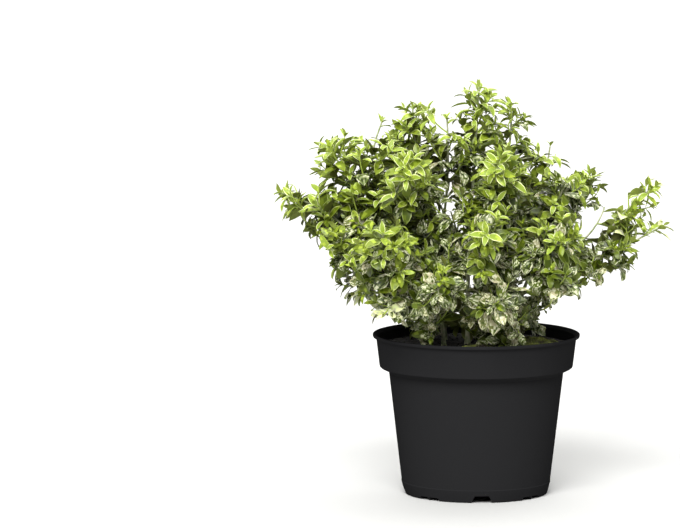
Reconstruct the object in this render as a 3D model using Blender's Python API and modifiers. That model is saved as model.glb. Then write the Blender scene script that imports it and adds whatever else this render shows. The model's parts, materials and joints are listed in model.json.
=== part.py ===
"""Potted harlequin wintercreeper: a young evergreen shrub in a round black nursery pot.

Metres, +Z up, and the side that the photograph shows faces -Y. The origin is the centre
of the pot's flat underside. Six stems stand on the compost. Boughs leave them, and each
stem and bough ends where it enters a mass of foliage. A mass is one leading twig with
side twigs in opposite pairs and leaves in opposite pairs, all joined into one solid.
"""

import math
import random
from collections import namedtuple

import bmesh
import bpy
import numpy as np
from mathutils import Matrix, Vector, noise

UP = Vector((0.0, 0.0, 1.0))
SEED = 3
CLEARANCE = 0.0003

# Pot, from its lip down
RIM_RADIUS = 0.095
POT_HEIGHT = 0.147
POT_WALL = 0.0015
LIP_HEIGHT = 0.0028
LIP_WIDTH = 0.0022
EDGE_ROUND = 0.0006
BAND_TOP_RADIUS = 0.0919
BAND_BOTTOM_RADIUS = 0.0887
BAND_BOTTOM = 0.1160
BAND_STEP = 0.0016
NECK_RADIUS = 0.0801
NECK_HEIGHT = 0.1125
HEEL_RADIUS = 0.0683
HEEL_HEIGHT = 0.0107
FOOT_RADIUS = 0.0650
FOOT_WIDTH = 0.0070
FOOT_SLOPE = 0.0012
FLOOR_LIFT = 0.0040
PAD_RADIUS = 0.0220
PAD_SLOPE = 0.0030
TURN_STEPS = 40
DRAIN_COUNT = 4
DRAIN_HEIGHT = 0.0065
DRAIN_TOP_WIDTH = 0.0130
DRAIN_BOTTOM_WIDTH = 0.0260
DRAIN_REACH = 0.0100
DRAIN_TURN = math.radians(-86.7)
NICK_ANGLES = (-40.0, 40.0)
NICK_WIDTH = 0.0100
NICK_HEIGHT = 0.0028

# Compost and the moss on it
COMPOST_TOP = 0.1362
MOSS_SWELL = 0.35
MOSS_LUMPS = 2.5
MOSS_PATCHES = {
    "moss_right": ((0.047, -0.022), (0.031, 0.023, 0.0080)),
    "moss_front": ((0.002, -0.052), (0.019, 0.013, 0.0055)),
}

# Limbs: a stem's foot and tip, or a bough's carrier, share of the way up it, and tip
Stem = namedtuple("Stem", "foot tip foot_radius tip_radius")
Bough = namedtuple("Bough", "carrier share tip foot_radius tip_radius")
Mass = namedtuple("Mass", "carrier share tip width")
Limb = namedtuple("Limb", "points radii")

STEMS = {
    "stem_left": Stem((-0.030, -0.008), (-0.072, -0.012, 0.222), 0.0024, 0.0015),
    "stem_centre": Stem((-0.008, 0.006), (-0.004, 0.004, 0.272), 0.0027, 0.0015),
    "stem_right": Stem((0.036, 0.008), (0.066, 0.002, 0.226), 0.0027, 0.0015),
    "stem_front": Stem((0.008, -0.028), (0.012, -0.058, 0.208), 0.0023, 0.0014),
    "stem_back_left": Stem((-0.028, 0.034), (-0.050, 0.060, 0.226), 0.0024, 0.0014),
    "stem_back_right": Stem((0.022, 0.040), (0.044, 0.058, 0.230), 0.0025, 0.0014),
}
BOUGHS = {
    "bough_left_low": Bough("stem_left", 0.36, (-0.088, -0.022, 0.186), 0.0015, 0.0011),
    "bough_left_reach": Bough("stem_left", 0.64, (-0.112, -0.008, 0.238), 0.0017, 0.0012),
    "bough_left_front": Bough("stem_left", 0.48, (-0.070, -0.060, 0.206), 0.0015, 0.0011),
    "bough_crest_left": Bough("stem_centre", 0.60, (-0.042, 0.012, 0.280), 0.0016, 0.0011),
    "bough_top_right": Bough("stem_centre", 0.70, (0.022, -0.010, 0.290), 0.0015, 0.0011),
    "bough_front_left": Bough("stem_front", 0.56, (-0.024, -0.076, 0.200), 0.0015, 0.0011),
    "bough_front_right": Bough("stem_front", 0.70, (0.050, -0.072, 0.208), 0.0015, 0.0011),
    "bough_right_reach": Bough("stem_right", 0.46, (0.112, 0.000, 0.216), 0.0018, 0.0012),
    "bough_right_back": Bough("stem_back_right", 0.50, (0.088, 0.072, 0.216), 0.0016, 0.0011),
    "bough_back_mid": Bough("stem_back_right", 0.36, (0.016, 0.096, 0.204), 0.0015, 0.0011),
    "bough_back_low": Bough("stem_back_left", 0.46, (-0.088, 0.070, 0.206), 0.0015, 0.0011),
}

# Masses: the limb that each grows from, how far along it, its furthest tip and its half width
MASSES = {
    "foliage_skirt_front": Mass("stem_front", 0.26, (0.034, -0.072, 0.174), 0.036),
    "foliage_skirt_front_left": Mass("stem_left", 0.20, (-0.046, -0.064, 0.164), 0.032),
    "foliage_skirt_left": Mass("stem_back_left", 0.20, (-0.080, 0.020, 0.174), 0.028),
    "foliage_skirt_right": Mass("stem_right", 0.24, (0.066, -0.026, 0.174), 0.028),
    "foliage_skirt_back": Mass("stem_back_right", 0.18, (0.008, 0.086, 0.168), 0.032),
    "foliage_low_left": Mass("bough_left_low", 1.0, (-0.122, -0.034, 0.206), 0.031),
    "foliage_low_left_front": Mass("bough_left_front", 0.70, (-0.082, -0.102, 0.190), 0.038),
    "foliage_low_front": Mass("bough_front_left", 1.0, (-0.036, -0.130, 0.196), 0.038),
    "foliage_low_front_mid": Mass("stem_front", 0.44, (0.020, -0.128, 0.196), 0.034),
    "foliage_low_front_right": Mass("bough_front_right", 1.0, (0.070, -0.112, 0.190), 0.038),
    "foliage_low_right": Mass("bough_right_reach", 0.50, (0.112, -0.046, 0.208), 0.032),
    "foliage_low_right_back": Mass("bough_right_back", 0.80, (0.112, 0.050, 0.210), 0.034),
    "foliage_low_back": Mass("bough_back_mid", 1.0, (0.038, 0.136, 0.196), 0.038),
    "foliage_low_back_left": Mass("stem_back_left", 0.60, (-0.046, 0.126, 0.196), 0.038),
    "foliage_left_reach": Mass("bough_left_reach", 1.0, (-0.186, -0.006, 0.279), 0.034),
    "foliage_left_front": Mass("bough_left_reach", 0.60, (-0.142, -0.074, 0.234), 0.038),
    "foliage_front_left": Mass("bough_left_front", 1.0, (-0.086, -0.134, 0.258), 0.040),
    "foliage_front_mid": Mass("stem_front", 1.0, (0.004, -0.152, 0.256), 0.040),
    "foliage_front_right": Mass("bough_front_right", 0.84, (0.090, -0.122, 0.252), 0.040),
    "foliage_right_out": Mass("bough_right_reach", 1.0, (0.176, -0.006, 0.250), 0.030),
    "foliage_right_up": Mass("bough_right_reach", 0.88, (0.170, 0.012, 0.286), 0.031),
    "foliage_back_right": Mass("bough_right_back", 1.0, (0.124, 0.104, 0.258), 0.040),
    "foliage_back_mid": Mass("bough_back_mid", 0.80, (0.026, 0.152, 0.262), 0.040),
    "foliage_back_left": Mass("stem_back_left", 0.90, (-0.086, 0.134, 0.264), 0.040),
    "foliage_left_back": Mass("bough_back_low", 1.0, (-0.150, 0.072, 0.266), 0.038),
    "foliage_high_left": Mass("bough_left_reach", 0.76, (-0.134, 0.004, 0.326), 0.046),
    "foliage_crest_far_left": Mass("stem_left", 1.0, (-0.084, -0.004, 0.350), 0.046),
    "foliage_high_front_left": Mass("stem_left", 0.86, (-0.060, -0.092, 0.322), 0.040),
    "foliage_high_front": Mass("stem_front", 0.84, (0.022, -0.104, 0.322), 0.040),
    "foliage_high_front_right": Mass("stem_right", 0.82, (0.082, -0.072, 0.304), 0.040),
    "foliage_high_right": Mass("stem_right", 1.0, (0.108, 0.002, 0.296), 0.036),
    "foliage_crest_right": Mass("stem_back_right", 1.0, (0.070, 0.056, 0.320), 0.040),
    "foliage_high_back": Mass("stem_back_right", 0.84, (0.002, 0.098, 0.324), 0.040),
    "foliage_high_back_left": Mass("stem_back_left", 1.0, (-0.078, 0.084, 0.326), 0.040),
    "foliage_centre_front": Mass("stem_centre", 0.46, (-0.026, -0.074, 0.270), 0.042),
    "foliage_centre_top": Mass("stem_centre", 1.0, (0.002, 0.000, 0.380), 0.032),
    "foliage_crest_left": Mass("bough_crest_left", 1.0, (-0.058, 0.022, 0.359), 0.036),
    "foliage_crest_mid": Mass("bough_crest_left", 0.60, (-0.028, -0.012, 0.352), 0.040),
    "foliage_top_right": Mass("bough_top_right", 1.0, (0.030, -0.014, 0.364), 0.031),
}

# The photograph shows sky through the crown here: x, z and radius of a passage that runs back
# along the line of sight, which drops by this slope
SIGHT_SLOPE = 0.11
SKY_GAPS = (
    (-0.024, 0.256, 0.004),
    (0.103, 0.245, 0.009),
)

# Growth
BRANCH_ANGLE = math.radians(42.0)
STEM_POINTS = 7
BOUGH_POINTS = 5
FLARE = 1.55
FLARE_SHARE = 0.10
STEM_UPRIGHT = 0.62
AXIS_POINTS = 7
LEADER_POINTS = 4
LEADER_RADIUS = 0.0013
LEADER_SEAT = 0.75 * LEADER_RADIUS
LEADER_CUT = 0.036
TWIG_RADIUS = 0.0011
TWIG_TAPER = 0.62
SIDE_SHARES = (0.25, 0.62)
SIDE_ANGLE = math.radians(56.0)
SIDE_LIFT = 0.25
SIDE_LENGTH = 1.02
SIDE_SHORTER = 0.42
SIDE_SHRINKS = (1.0, 0.8, 0.62)
SIDE_TESTS = (0.35, 0.6, 0.8, 1.0)
LEAVES_PER_MASS = 17
LEAF_LENGTH = 0.039
LEAF_WIDTH = 0.0235
LEAF_SHRINK = 0.06
LEAF_WIDEST = 0.46
LEAF_THICKNESS = 0.0008
LEAF_SAMPLES = (0.20, 0.34, 0.48, 0.66, 0.84)
LEAF_ANGLE = math.radians(56.0)
LEAF_TIP_ANGLE = 0.15
LEAF_SUNK = 0.0005
LEAF_FACES_UP = 0.5
CROWN_HEART = Vector((0.0, 0.0, 0.20))
LEAF_APART = 0.0034
PAIR_SHARES = (0.92, 0.50)
LEAF_TRIES = 7
FILL_TRIES = 100
SPACE_TAPER = 0.35
SPACE_REACH = 1.15
SPACE_MARGIN = 0.03
LIMB_MARGIN = 0.0016
POT_MARGIN = 0.0012


def material(name, colour, roughness, metallic=0.0):
    """A Principled material of one colour."""
    made = bpy.data.materials.new(name)
    made.use_nodes = True
    shader = made.node_tree.nodes["Principled BSDF"]
    shader.inputs["Base Color"].default_value = (*colour, 1.0)
    shader.inputs["Roughness"].default_value = roughness
    shader.inputs["Metallic"].default_value = metallic
    made.diffuse_color = (*colour, 1.0)
    return made


def collection(name, hidden=False):
    """A new collection in the scene."""
    made = bpy.data.collections.new(name)
    made.hide_render = hidden
    bpy.context.scene.collection.children.link(made)
    return made


def add_object(name, data, group, finish=None):
    """An object for this mesh or curve, in this collection."""
    made = bpy.data.objects.new(name, data)
    group.objects.link(made)
    if finish:
        data.materials.append(finish)
    return made


def evaluated_mesh(obj):
    """The object's shape, with its modifiers, as a new mesh."""
    graph = bpy.context.evaluated_depsgraph_get()
    return bpy.data.meshes.new_from_object(obj.evaluated_get(graph))


def mesh_of_curve(obj):
    """A curve object's tube as a new mesh with its caps welded on."""
    mesh = evaluated_mesh(obj)
    bm = bmesh.new()
    bm.from_mesh(mesh)
    bmesh.ops.remove_doubles(bm, verts=bm.verts, dist=1e-6)
    bmesh.ops.recalc_face_normals(bm, faces=bm.faces)
    bm.to_mesh(mesh)
    bm.free()
    return mesh


def smooth(mesh, degrees=35.0):
    """Shades a mesh smooth apart from its sharp edges."""
    mesh.shade_smooth()
    mesh.set_sharp_from_angle(angle=math.radians(degrees))


# Turned pieces: the pot, its compost and the moss


def turned(name, profile, group, finish):
    """A solid of revolution about Z. The profile runs down its outer side."""
    mesh = bpy.data.meshes.new(name)
    edges = [(i, i + 1) for i in range(len(profile) - 1)]
    mesh.from_pydata([(r, 0.0, z) for r, z in profile], edges, [])
    obj = add_object(name, mesh, group, finish)
    screw = obj.modifiers.new("turn", "SCREW")
    screw.steps = screw.render_steps = TURN_STEPS
    screw.use_merge_vertices = True
    screw.merge_threshold = 0.00001
    return obj


def pot_outside():
    """The pot's outer profile as radius and height, from the lip's top down to the axis."""
    band_rim = POT_HEIGHT - LIP_HEIGHT
    foot_inner = FOOT_RADIUS - FOOT_WIDTH
    return [
        (RIM_RADIUS - EDGE_ROUND, POT_HEIGHT),
        (RIM_RADIUS, POT_HEIGHT - EDGE_ROUND * 1.5),
        (RIM_RADIUS - EDGE_ROUND * 0.7, band_rim),
        (BAND_TOP_RADIUS, band_rim - EDGE_ROUND),
        (BAND_BOTTOM_RADIUS, BAND_BOTTOM + BAND_STEP),
        (BAND_BOTTOM_RADIUS - BAND_STEP, BAND_BOTTOM),
        (NECK_RADIUS, NECK_HEIGHT),
        (HEEL_RADIUS, HEEL_HEIGHT),
        (FOOT_RADIUS + FOOT_SLOPE, FOOT_SLOPE),
        (FOOT_RADIUS, 0.0),
        (foot_inner, 0.0),
        (foot_inner - FOOT_SLOPE, FLOOR_LIFT),
        (PAD_RADIUS + PAD_SLOPE, FLOOR_LIFT),
        (PAD_RADIUS, 0.0),
        (0.0, 0.0),
    ]


def pot_inside():
    """The pot's inner profile as radius and height, from the axis up to the lip's top."""
    floor = FLOOR_LIFT + POT_WALL
    return [
        (0.0, POT_WALL),
        (PAD_RADIUS - EDGE_ROUND, POT_WALL),
        (PAD_RADIUS + PAD_SLOPE - EDGE_ROUND, floor),
        (FOOT_RADIUS - FOOT_SLOPE, floor),
        (HEEL_RADIUS - POT_WALL, HEEL_HEIGHT),
        (NECK_RADIUS - POT_WALL, NECK_HEIGHT + POT_WALL * 0.7),
        (BAND_BOTTOM_RADIUS - POT_WALL * 1.8, BAND_BOTTOM + BAND_STEP),
        (BAND_TOP_RADIUS - POT_WALL, POT_HEIGHT - LIP_HEIGHT),
        (RIM_RADIUS - LIP_WIDTH, POT_HEIGHT),
    ]


def drain_cutter(name, turn, bottom_width, top_width, height, inner, outer, group):
    """A radial wedge that cuts a drain through the foot. Its outline is drawn across the way out."""
    bm = bmesh.new()
    bmesh.ops.create_cube(bm, size=1.0)
    for vert in bm.verts:
        width = top_width if vert.co.z > 0 else bottom_width
        vert.co.y *= width
        vert.co.x = inner if vert.co.x < 0 else outer
        vert.co.z = height if vert.co.z > 0 else -height
    mesh = bpy.data.meshes.new(name)
    bm.to_mesh(mesh)
    bm.free()
    cutter = add_object(name, mesh, group)
    cutter.rotation_euler.z = turn
    cutter.hide_render = True
    cutter.display_type = "WIRE"
    return cutter


def make_pot(group, cutters, finish):
    """The pot, with a drain through each side of the foot and a shallow nick on both sides of it."""
    pot = turned("pot", pot_inside() + pot_outside(), group, finish)
    beyond = HEEL_RADIUS + DRAIN_REACH
    for index in range(DRAIN_COUNT):
        turn = DRAIN_TURN + index * math.tau / DRAIN_COUNT
        drain_cutter(
            f"drain_{index}", turn, DRAIN_BOTTOM_WIDTH, DRAIN_TOP_WIDTH, DRAIN_HEIGHT,
            FOOT_RADIUS - DRAIN_REACH, beyond, cutters,
        )
        for angle in NICK_ANGLES:
            drain_cutter(
                f"nick_{index}_{angle:.0f}", turn + math.radians(angle), NICK_WIDTH, NICK_WIDTH,
                NICK_HEIGHT, PAD_RADIUS + DRAIN_REACH, beyond, cutters,
            )
    cut = pot.modifiers.new("drains", "BOOLEAN")
    cut.operation = "DIFFERENCE"
    cut.solver = "EXACT"
    cut.operand_type = "COLLECTION"
    cut.collection = cutters
    return pot


def make_compost(group, finish):
    """The compost that fills the pot, a hair clear of it, with a flat top."""
    gap = CLEARANCE * 1.3
    floor = FLOOR_LIFT + POT_WALL + gap
    band_height = POT_HEIGHT - LIP_HEIGHT - BAND_BOTTOM - BAND_STEP
    band_share = (COMPOST_TOP - BAND_BOTTOM - BAND_STEP) / band_height
    band_low = BAND_BOTTOM_RADIUS - POT_WALL * 1.8
    band_high = BAND_TOP_RADIUS - POT_WALL
    top_radius = band_low + (band_high - band_low) * band_share - gap
    profile = [
        (0.0, COMPOST_TOP),
        (top_radius, COMPOST_TOP),
        (band_low - gap, BAND_BOTTOM + BAND_STEP + gap / 2),
        (NECK_RADIUS - POT_WALL - gap, NECK_HEIGHT + POT_WALL * 0.7 + gap),
        (HEEL_RADIUS - POT_WALL - gap, HEEL_HEIGHT + gap / 2),
        (FOOT_RADIUS - FOOT_SLOPE - gap * 1.5, floor),
        (0.0, floor),
    ]
    return turned("compost", profile, group, finish)


def make_moss(name, centre, radii, group, finish):
    """A low cushion of moss: a ball of uneven height, flattened where it lies on the compost."""
    bm = bmesh.new()
    bmesh.ops.create_uvsphere(bm, u_segments=14, v_segments=8, radius=1.0)
    for vert in bm.verts:
        swell = 1.0 + MOSS_SWELL * noise.noise(vert.co * MOSS_LUMPS + Vector(radii) * 100)
        vert.co.z = max(vert.co.z, 0.0) * swell
    bmesh.ops.scale(bm, vec=radii, verts=bm.verts)
    mesh = bpy.data.meshes.new(name)
    bm.to_mesh(mesh)
    bm.free()
    smooth(mesh)
    obj = add_object(name, mesh, group, finish)
    obj.location = (*centre, COMPOST_TOP + CLEARANCE)
    return obj


# Limbs


def bent(start, towards, end, count):
    """Points on the quadratic curve from start to end that is drawn towards the middle point."""
    shares = [i / (count - 1) for i in range(count)]
    return [start.lerp(towards, t).lerp(towards.lerp(end, t), t) for t in shares]


def along(points, share):
    """The point and the heading this share of the way along a line of points."""
    place = share * (len(points) - 1)
    index = min(int(place), len(points) - 2)
    span = points[index + 1] - points[index]
    return points[index] + span * (place - index), span.normalized()


def tapered(foot_radius, tip_radius, count, flare=1.0):
    """Radii from foot to tip, widened at the foot by the flare."""
    radii = []
    for i in range(count):
        share = i / (count - 1)
        spread = 1.0 + (flare - 1.0) * max(0.0, 1.0 - share / FLARE_SHARE)
        radii.append((foot_radius + (tip_radius - foot_radius) * share) * spread)
    return radii


def stem_limb(stem):
    """A stem's centre line: upright where it leaves the compost, then leaning to its tip."""
    foot = Vector((*stem.foot, COMPOST_TOP + CLEARANCE))
    tip = Vector(stem.tip)
    rise = tip.z - foot.z
    towards = foot + UP * rise * STEM_UPRIGHT
    points = bent(foot, towards, tip, STEM_POINTS)
    low = foot + UP * rise * FLARE_SHARE * 0.5
    points.insert(1, low)
    radii = tapered(stem.foot_radius, stem.tip_radius, STEM_POINTS)
    return Limb(points, [stem.foot_radius * FLARE, stem.foot_radius * 1.05, *radii[1:]])


def branch_start(carrier, share, target, radius):
    """Where a branch starts and which way it heads, a hair clear of the limb that carries it."""
    place, heading = along(carrier.points, share)
    if share >= 1.0:
        return place + heading * CLEARANCE, heading
    way = (target - place).normalized()
    side = (way - heading * way.dot(heading)).normalized()
    angle = max(way.angle(heading), BRANCH_ANGLE)
    way = heading * math.cos(angle) + side * math.sin(angle)
    index = min(int(share * (len(carrier.radii) - 1)), len(carrier.radii) - 2)
    clear = carrier.radii[index] + CLEARANCE + radius * abs(math.cos(angle))
    return place + way * clear / math.sin(angle), way


def grown_line(carrier, share, tip, radius, count):
    """The centre line of a branch or leading twig from its carrier to its tip."""
    target = Vector(tip)
    start, heading = branch_start(carrier, share, target, radius)
    middle = start + heading * (target - start).length * 0.5
    return bent(start, middle, target, count)


def shortened(points, cut, count):
    """The same line, this much shorter, with this many points."""
    length = sum((b - a).length for a, b in zip(points, points[1:]))
    end = max(1.0 - cut / length, 0.2)
    return [along(points, end * i / (count - 1))[0] for i in range(count)]


def all_limbs():
    """Each stem and bough by name."""
    limbs = {name: stem_limb(stem) for name, stem in STEMS.items()}
    for name, bough in BOUGHS.items():
        carrier = limbs[bough.carrier]
        line = grown_line(carrier, bough.share, bough.tip, bough.foot_radius, BOUGH_POINTS)
        limbs[name] = Limb(line, tapered(bough.foot_radius, bough.tip_radius, BOUGH_POINTS))
    return limbs


def rod(name, points, radii, group, finish=None, outline=None, resolution=1):
    """A tapering rod along these points. Its section is round, or follows the outline curve."""
    curve = bpy.data.curves.new(name, "CURVE")
    curve.dimensions = "3D"
    curve.use_fill_caps = True
    if outline:
        curve.bevel_mode = "OBJECT"
        curve.bevel_object = outline
    else:
        curve.bevel_depth = 1.0
        curve.bevel_resolution = resolution
    spline = curve.splines.new("POLY")
    spline.points.add(len(points) - 1)
    for knot, place, radius in zip(spline.points, points, radii):
        knot.co = (*place, 1.0)
        knot.radius = radius
    return add_object(name, curve, group, finish)


# The space of each mass


def pieces_of(lines):
    """Start, span and owner of every straight piece of these lines, as arrays."""
    starts, spans, owners = [], [], []
    for owner, points in enumerate(lines):
        for a, b in zip(points, points[1:]):
            starts.append(a[:])
            spans.append((b - a)[:])
            owners.append(owner)
    return np.array(starts), np.array(spans), np.array(owners)


def distances(places, starts, spans):
    """Distance from each place to each straight piece."""
    offset = places[:, None, :] - starts[None]
    share = (offset * spans).sum(2) / (spans * spans).sum(1)
    nearest = starts + np.clip(share, 0.0, 1.0)[..., None] * spans
    return np.linalg.norm(places[:, None, :] - nearest, axis=2)


class Room:
    """Tells whether a twig or leaf keeps to its mass's own space, clear of the limbs and the pot."""

    def __init__(self, limbs, axes):
        self.limb_starts, self.limb_spans, owners = pieces_of([l.points for l in limbs.values()])
        widest = np.array([max(l.radii) for l in limbs.values()])
        self.limb_radii = widest[owners]
        self.starts, self.spans, self.owners = pieces_of(axes.values())
        self.names = list(axes)
        count = len(self.owners) // len(self.names)
        taper = 1.0 - SPACE_TAPER * np.arange(count) / (count - 1)
        widths = np.array([MASSES[name].width for name in axes])
        self.widths = widths[self.owners] * np.tile(taper, len(self.names))

    def keeps(self, places, name, limb_margin=LIMB_MARGIN):
        """True if all these places are in the space of the named mass and touch nothing else."""
        spots = np.array([place[:] for place in places])
        own = self.names.index(name)
        near = distances(spots, self.starts, self.spans) / self.widths
        shares = np.stack([near[:, self.owners == i].min(1) for i in range(len(self.names))], 1)
        mine = shares[:, own].copy()
        shares[:, own] = np.inf
        if (mine > SPACE_REACH).any() or (mine + SPACE_MARGIN > shares.min(1)).any():
            return False
        limb_gap = distances(spots, self.limb_starts, self.limb_spans) - self.limb_radii
        if (limb_gap < limb_margin).any():
            return False
        return clear_of_pot(spots) and clear_of_sky(spots)


def clear_of_pot(spots):
    """True if no place is in the compost, the moss or the pot's wall."""
    radius = np.hypot(spots[:, 0], spots[:, 1])
    height = spots[:, 2]
    over_compost = height > COMPOST_TOP + POT_MARGIN
    inside = (radius < BAND_BOTTOM_RADIUS - POT_WALL - POT_MARGIN) & over_compost
    above = height > POT_HEIGHT + POT_MARGIN
    if not (inside | above).all():
        return False
    for centre, radii in MOSS_PATCHES.values():
        across = np.hypot((spots[:, 0] - centre[0]) / radii[0], (spots[:, 1] - centre[1]) / radii[1])
        low = height < COMPOST_TOP + radii[2] + POT_MARGIN
        if ((across < 1.1) & low).any():
            return False
    return True


def clear_of_sky(spots):
    """True if no place blocks a gap through which the photograph shows sky."""
    seen = spots[:, 2] + spots[:, 1] * SIGHT_SLOPE
    return all((np.hypot(spots[:, 0] - x, seen - z) > radius).all() for x, z, radius in SKY_GAPS)


# Foliage


def side_way(heading, turn):
    """A direction square to the heading, turned round it by this angle from the level."""
    level = heading.cross(UP)
    if level.length < 0.05:
        level = Vector((1.0, 0.0, 0.0))
    level.normalize()
    return Matrix.Rotation(turn, 3, heading) @ level


def leaf_places(root, way, face, length, width):
    """Places over a leaf's blade, enough to tell what it touches."""
    across = way.cross(face)
    places = []
    for share in LEAF_SAMPLES:
        half = 0.5 * width * min(share / LEAF_WIDEST, (1.0 - share) / (1.0 - LEAF_WIDEST))
        for side in (-1.0, -0.5, 0.0, 0.5, 1.0):
            places.append(root + way * length * share + across * half * side)
    places.append(root + way * length)
    return places


def leaf_blade(root, way, face, length, width):
    """A leaf as a mesh of six faces: a ball of three segments, drawn out, with its keel below.

    The ball's triangle is 1.5 deep and the square root of 3 wide.
    """
    across = way.cross(face)
    bm = bmesh.new()
    bmesh.ops.create_uvsphere(bm, u_segments=3, v_segments=2, radius=1.0)
    for vert in bm.verts:
        keel, side, end = vert.co
        share = LEAF_WIDEST + end * (1.0 - LEAF_WIDEST if end > 0.0 else LEAF_WIDEST)
        vert.co = (
            root
            + way * length * share
            + across * side * width / math.sqrt(3.0)
            - face * keel * LEAF_THICKNESS / 1.5
        )
    bmesh.ops.recalc_face_normals(bm, faces=bm.faces)
    mesh = bpy.data.meshes.new("leaf")
    bm.to_mesh(mesh)
    bm.free()
    return mesh


def leaf_pose(rng, root, heading, turn, angle):
    """The way a leaf points, and the way its upper side faces: up and out of the crown."""
    lean = angle + rng.uniform(-0.2, 0.2)
    way = heading * math.cos(lean) + side_way(heading, turn) * math.sin(lean)
    way = (way + UP * rng.uniform(-0.15, 0.20)).normalized()
    light = UP * LEAF_FACES_UP + (root - CROWN_HEART).normalized() + heading * 0.2
    face = light - way * way.dot(light)
    if face.length < 0.1:
        face = side_way(way, 0.0)
    return way, face.normalized()


def twig_plan(rng, name, leader, room):
    """The side twigs of a mass: opposite pairs, each pair a quarter turn round from the last."""
    width = MASSES[name].width
    twigs = []
    first_turn = rng.uniform(0.0, math.pi)
    for order, share in enumerate(SIDE_SHARES):
        place, heading = along(leader, share)
        for half in (0.0, math.pi):
            for shrink in SIDE_SHRINKS:
                turn = first_turn + order * math.pi / 2 + half + rng.uniform(-0.35, 0.35)
                way = heading * math.cos(SIDE_ANGLE) + side_way(heading, turn) * math.sin(SIDE_ANGLE)
                full = width * (SIDE_LENGTH - SIDE_SHORTER * share)
                length = full * shrink * rng.uniform(0.9, 1.1)
                tip = place + (way + UP * SIDE_LIFT).normalized() * length
                line = [place, tip]
                beyond = [along(line, t)[0] for t in SIDE_TESTS]
                if room.keeps(beyond, name):
                    twigs.append(line)
                    break
    return twigs


def leaf_plan(rng, name, lines, room):
    """Root, way, face, length and width of each leaf of a mass.

    Each twig first gets a leaf at its tip, then opposite pairs, each pair a quarter turn round
    from the last. Single leaves then fill in until the mass has its number or no room is left.
    """
    taken = [along(line, i / 15)[0][:] for line in lines for i in range(16)]
    leaves = []

    def add(line, share, turn, angle, tries):
        leaf = placed_leaf(rng, name, *along(line, share), turn, angle, tries, room, taken)
        if leaf and len(leaves) < LEAVES_PER_MASS:
            leaves.append(leaf)

    for line in lines:
        add(line, 1.0, 0.0, LEAF_TIP_ANGLE, LEAF_TRIES)
    for line in lines:
        turn = rng.uniform(0.0, math.pi)
        for share in PAIR_SHARES:
            add(line, share, turn, LEAF_ANGLE, LEAF_TRIES)
            add(line, share, turn + math.pi, LEAF_ANGLE, LEAF_TRIES)
            turn += math.pi / 2
    for _ in range(FILL_TRIES):
        add(rng.choice(lines), rng.uniform(0.08, 1.0), rng.uniform(0.0, math.tau), LEAF_ANGLE, 3)
    return leaves


def placed_leaf(rng, name, root, heading, turn, angle, tries, room, taken):
    """A leaf that keeps to its mass's space and off the leaves before it, or None where it can't.

    Each further try is a little smaller.
    """
    for attempt in range(tries):
        size = rng.uniform(0.92, 1.06) * (1.0 - LEAF_SHRINK * attempt)
        way, face = leaf_pose(rng, root, heading, turn + rng.uniform(-0.4, 0.4), angle)
        sunk = root - way * LEAF_SUNK
        length, width = LEAF_LENGTH * size, LEAF_WIDTH * size
        places = leaf_places(sunk, way, face, length, width)
        gaps = np.array([place[:] for place in places])[:, None] - np.array(taken)[None]
        crowded = np.linalg.norm(gaps, axis=2).min() < LEAF_APART
        if not crowded and room.keeps(places, name):
            taken += [place[:] for place in places]
            return sunk, way, face, length, width
    return None


def make_mass(name, leader, room, group, outline, finish):
    """One mass of foliage: its leader, side twigs and leaves joined by a Boolean union."""
    rng = random.Random(f"{SEED} {name}")
    twigs = twig_plan(rng, name, leader, room)
    leaves = leaf_plan(rng, name, [leader, *twigs], room)
    joined = collection("joined")
    radii = tapered(LEADER_RADIUS, LEADER_RADIUS * TWIG_TAPER, LEADER_POINTS)
    stem = rod("leader", leader, radii, joined, None, outline)
    mass = add_object(name, mesh_of_curve(stem), group, finish)
    bpy.data.objects.remove(stem)
    for line in twigs:
        radii = (TWIG_RADIUS, TWIG_RADIUS * TWIG_TAPER)
        guide = rod("guide", line, radii, joined, None, outline)
        mesh = mesh_of_curve(guide)
        bpy.data.objects.remove(guide)
        add_object("twig", mesh, joined)
    for leaf in leaves:
        add_object("leaf", leaf_blade(*leaf), joined)
    union = mass.modifiers.new("grown together", "BOOLEAN")
    union.operation = "UNION"
    union.solver = "EXACT"
    union.operand_type = "COLLECTION"
    union.collection = joined
    mass.data = evaluated_mesh(mass)
    mass.data.materials.clear()
    mass.data.materials.append(finish)
    mass.modifiers.clear()
    for part in list(joined.objects):
        bpy.data.objects.remove(part)
    bpy.data.collections.remove(joined)
    return len(leaves)


def three_sided():
    """The outline of a twig's section: a triangle of radius one, in a curve that is only a guide."""
    curve = bpy.data.curves.new("twig_section", "CURVE")
    curve.dimensions = "2D"
    spline = curve.splines.new("POLY")
    spline.points.add(2)
    for index, knot in enumerate(spline.points):
        angle = index * math.tau / 3
        knot.co = (math.cos(angle), math.sin(angle), 0.0, 1.0)
    spline.use_cyclic_u = True
    section = add_object("twig_section", curve, bpy.context.scene.collection)
    section.hide_render = True
    section.display_type = "WIRE"
    return section


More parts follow.
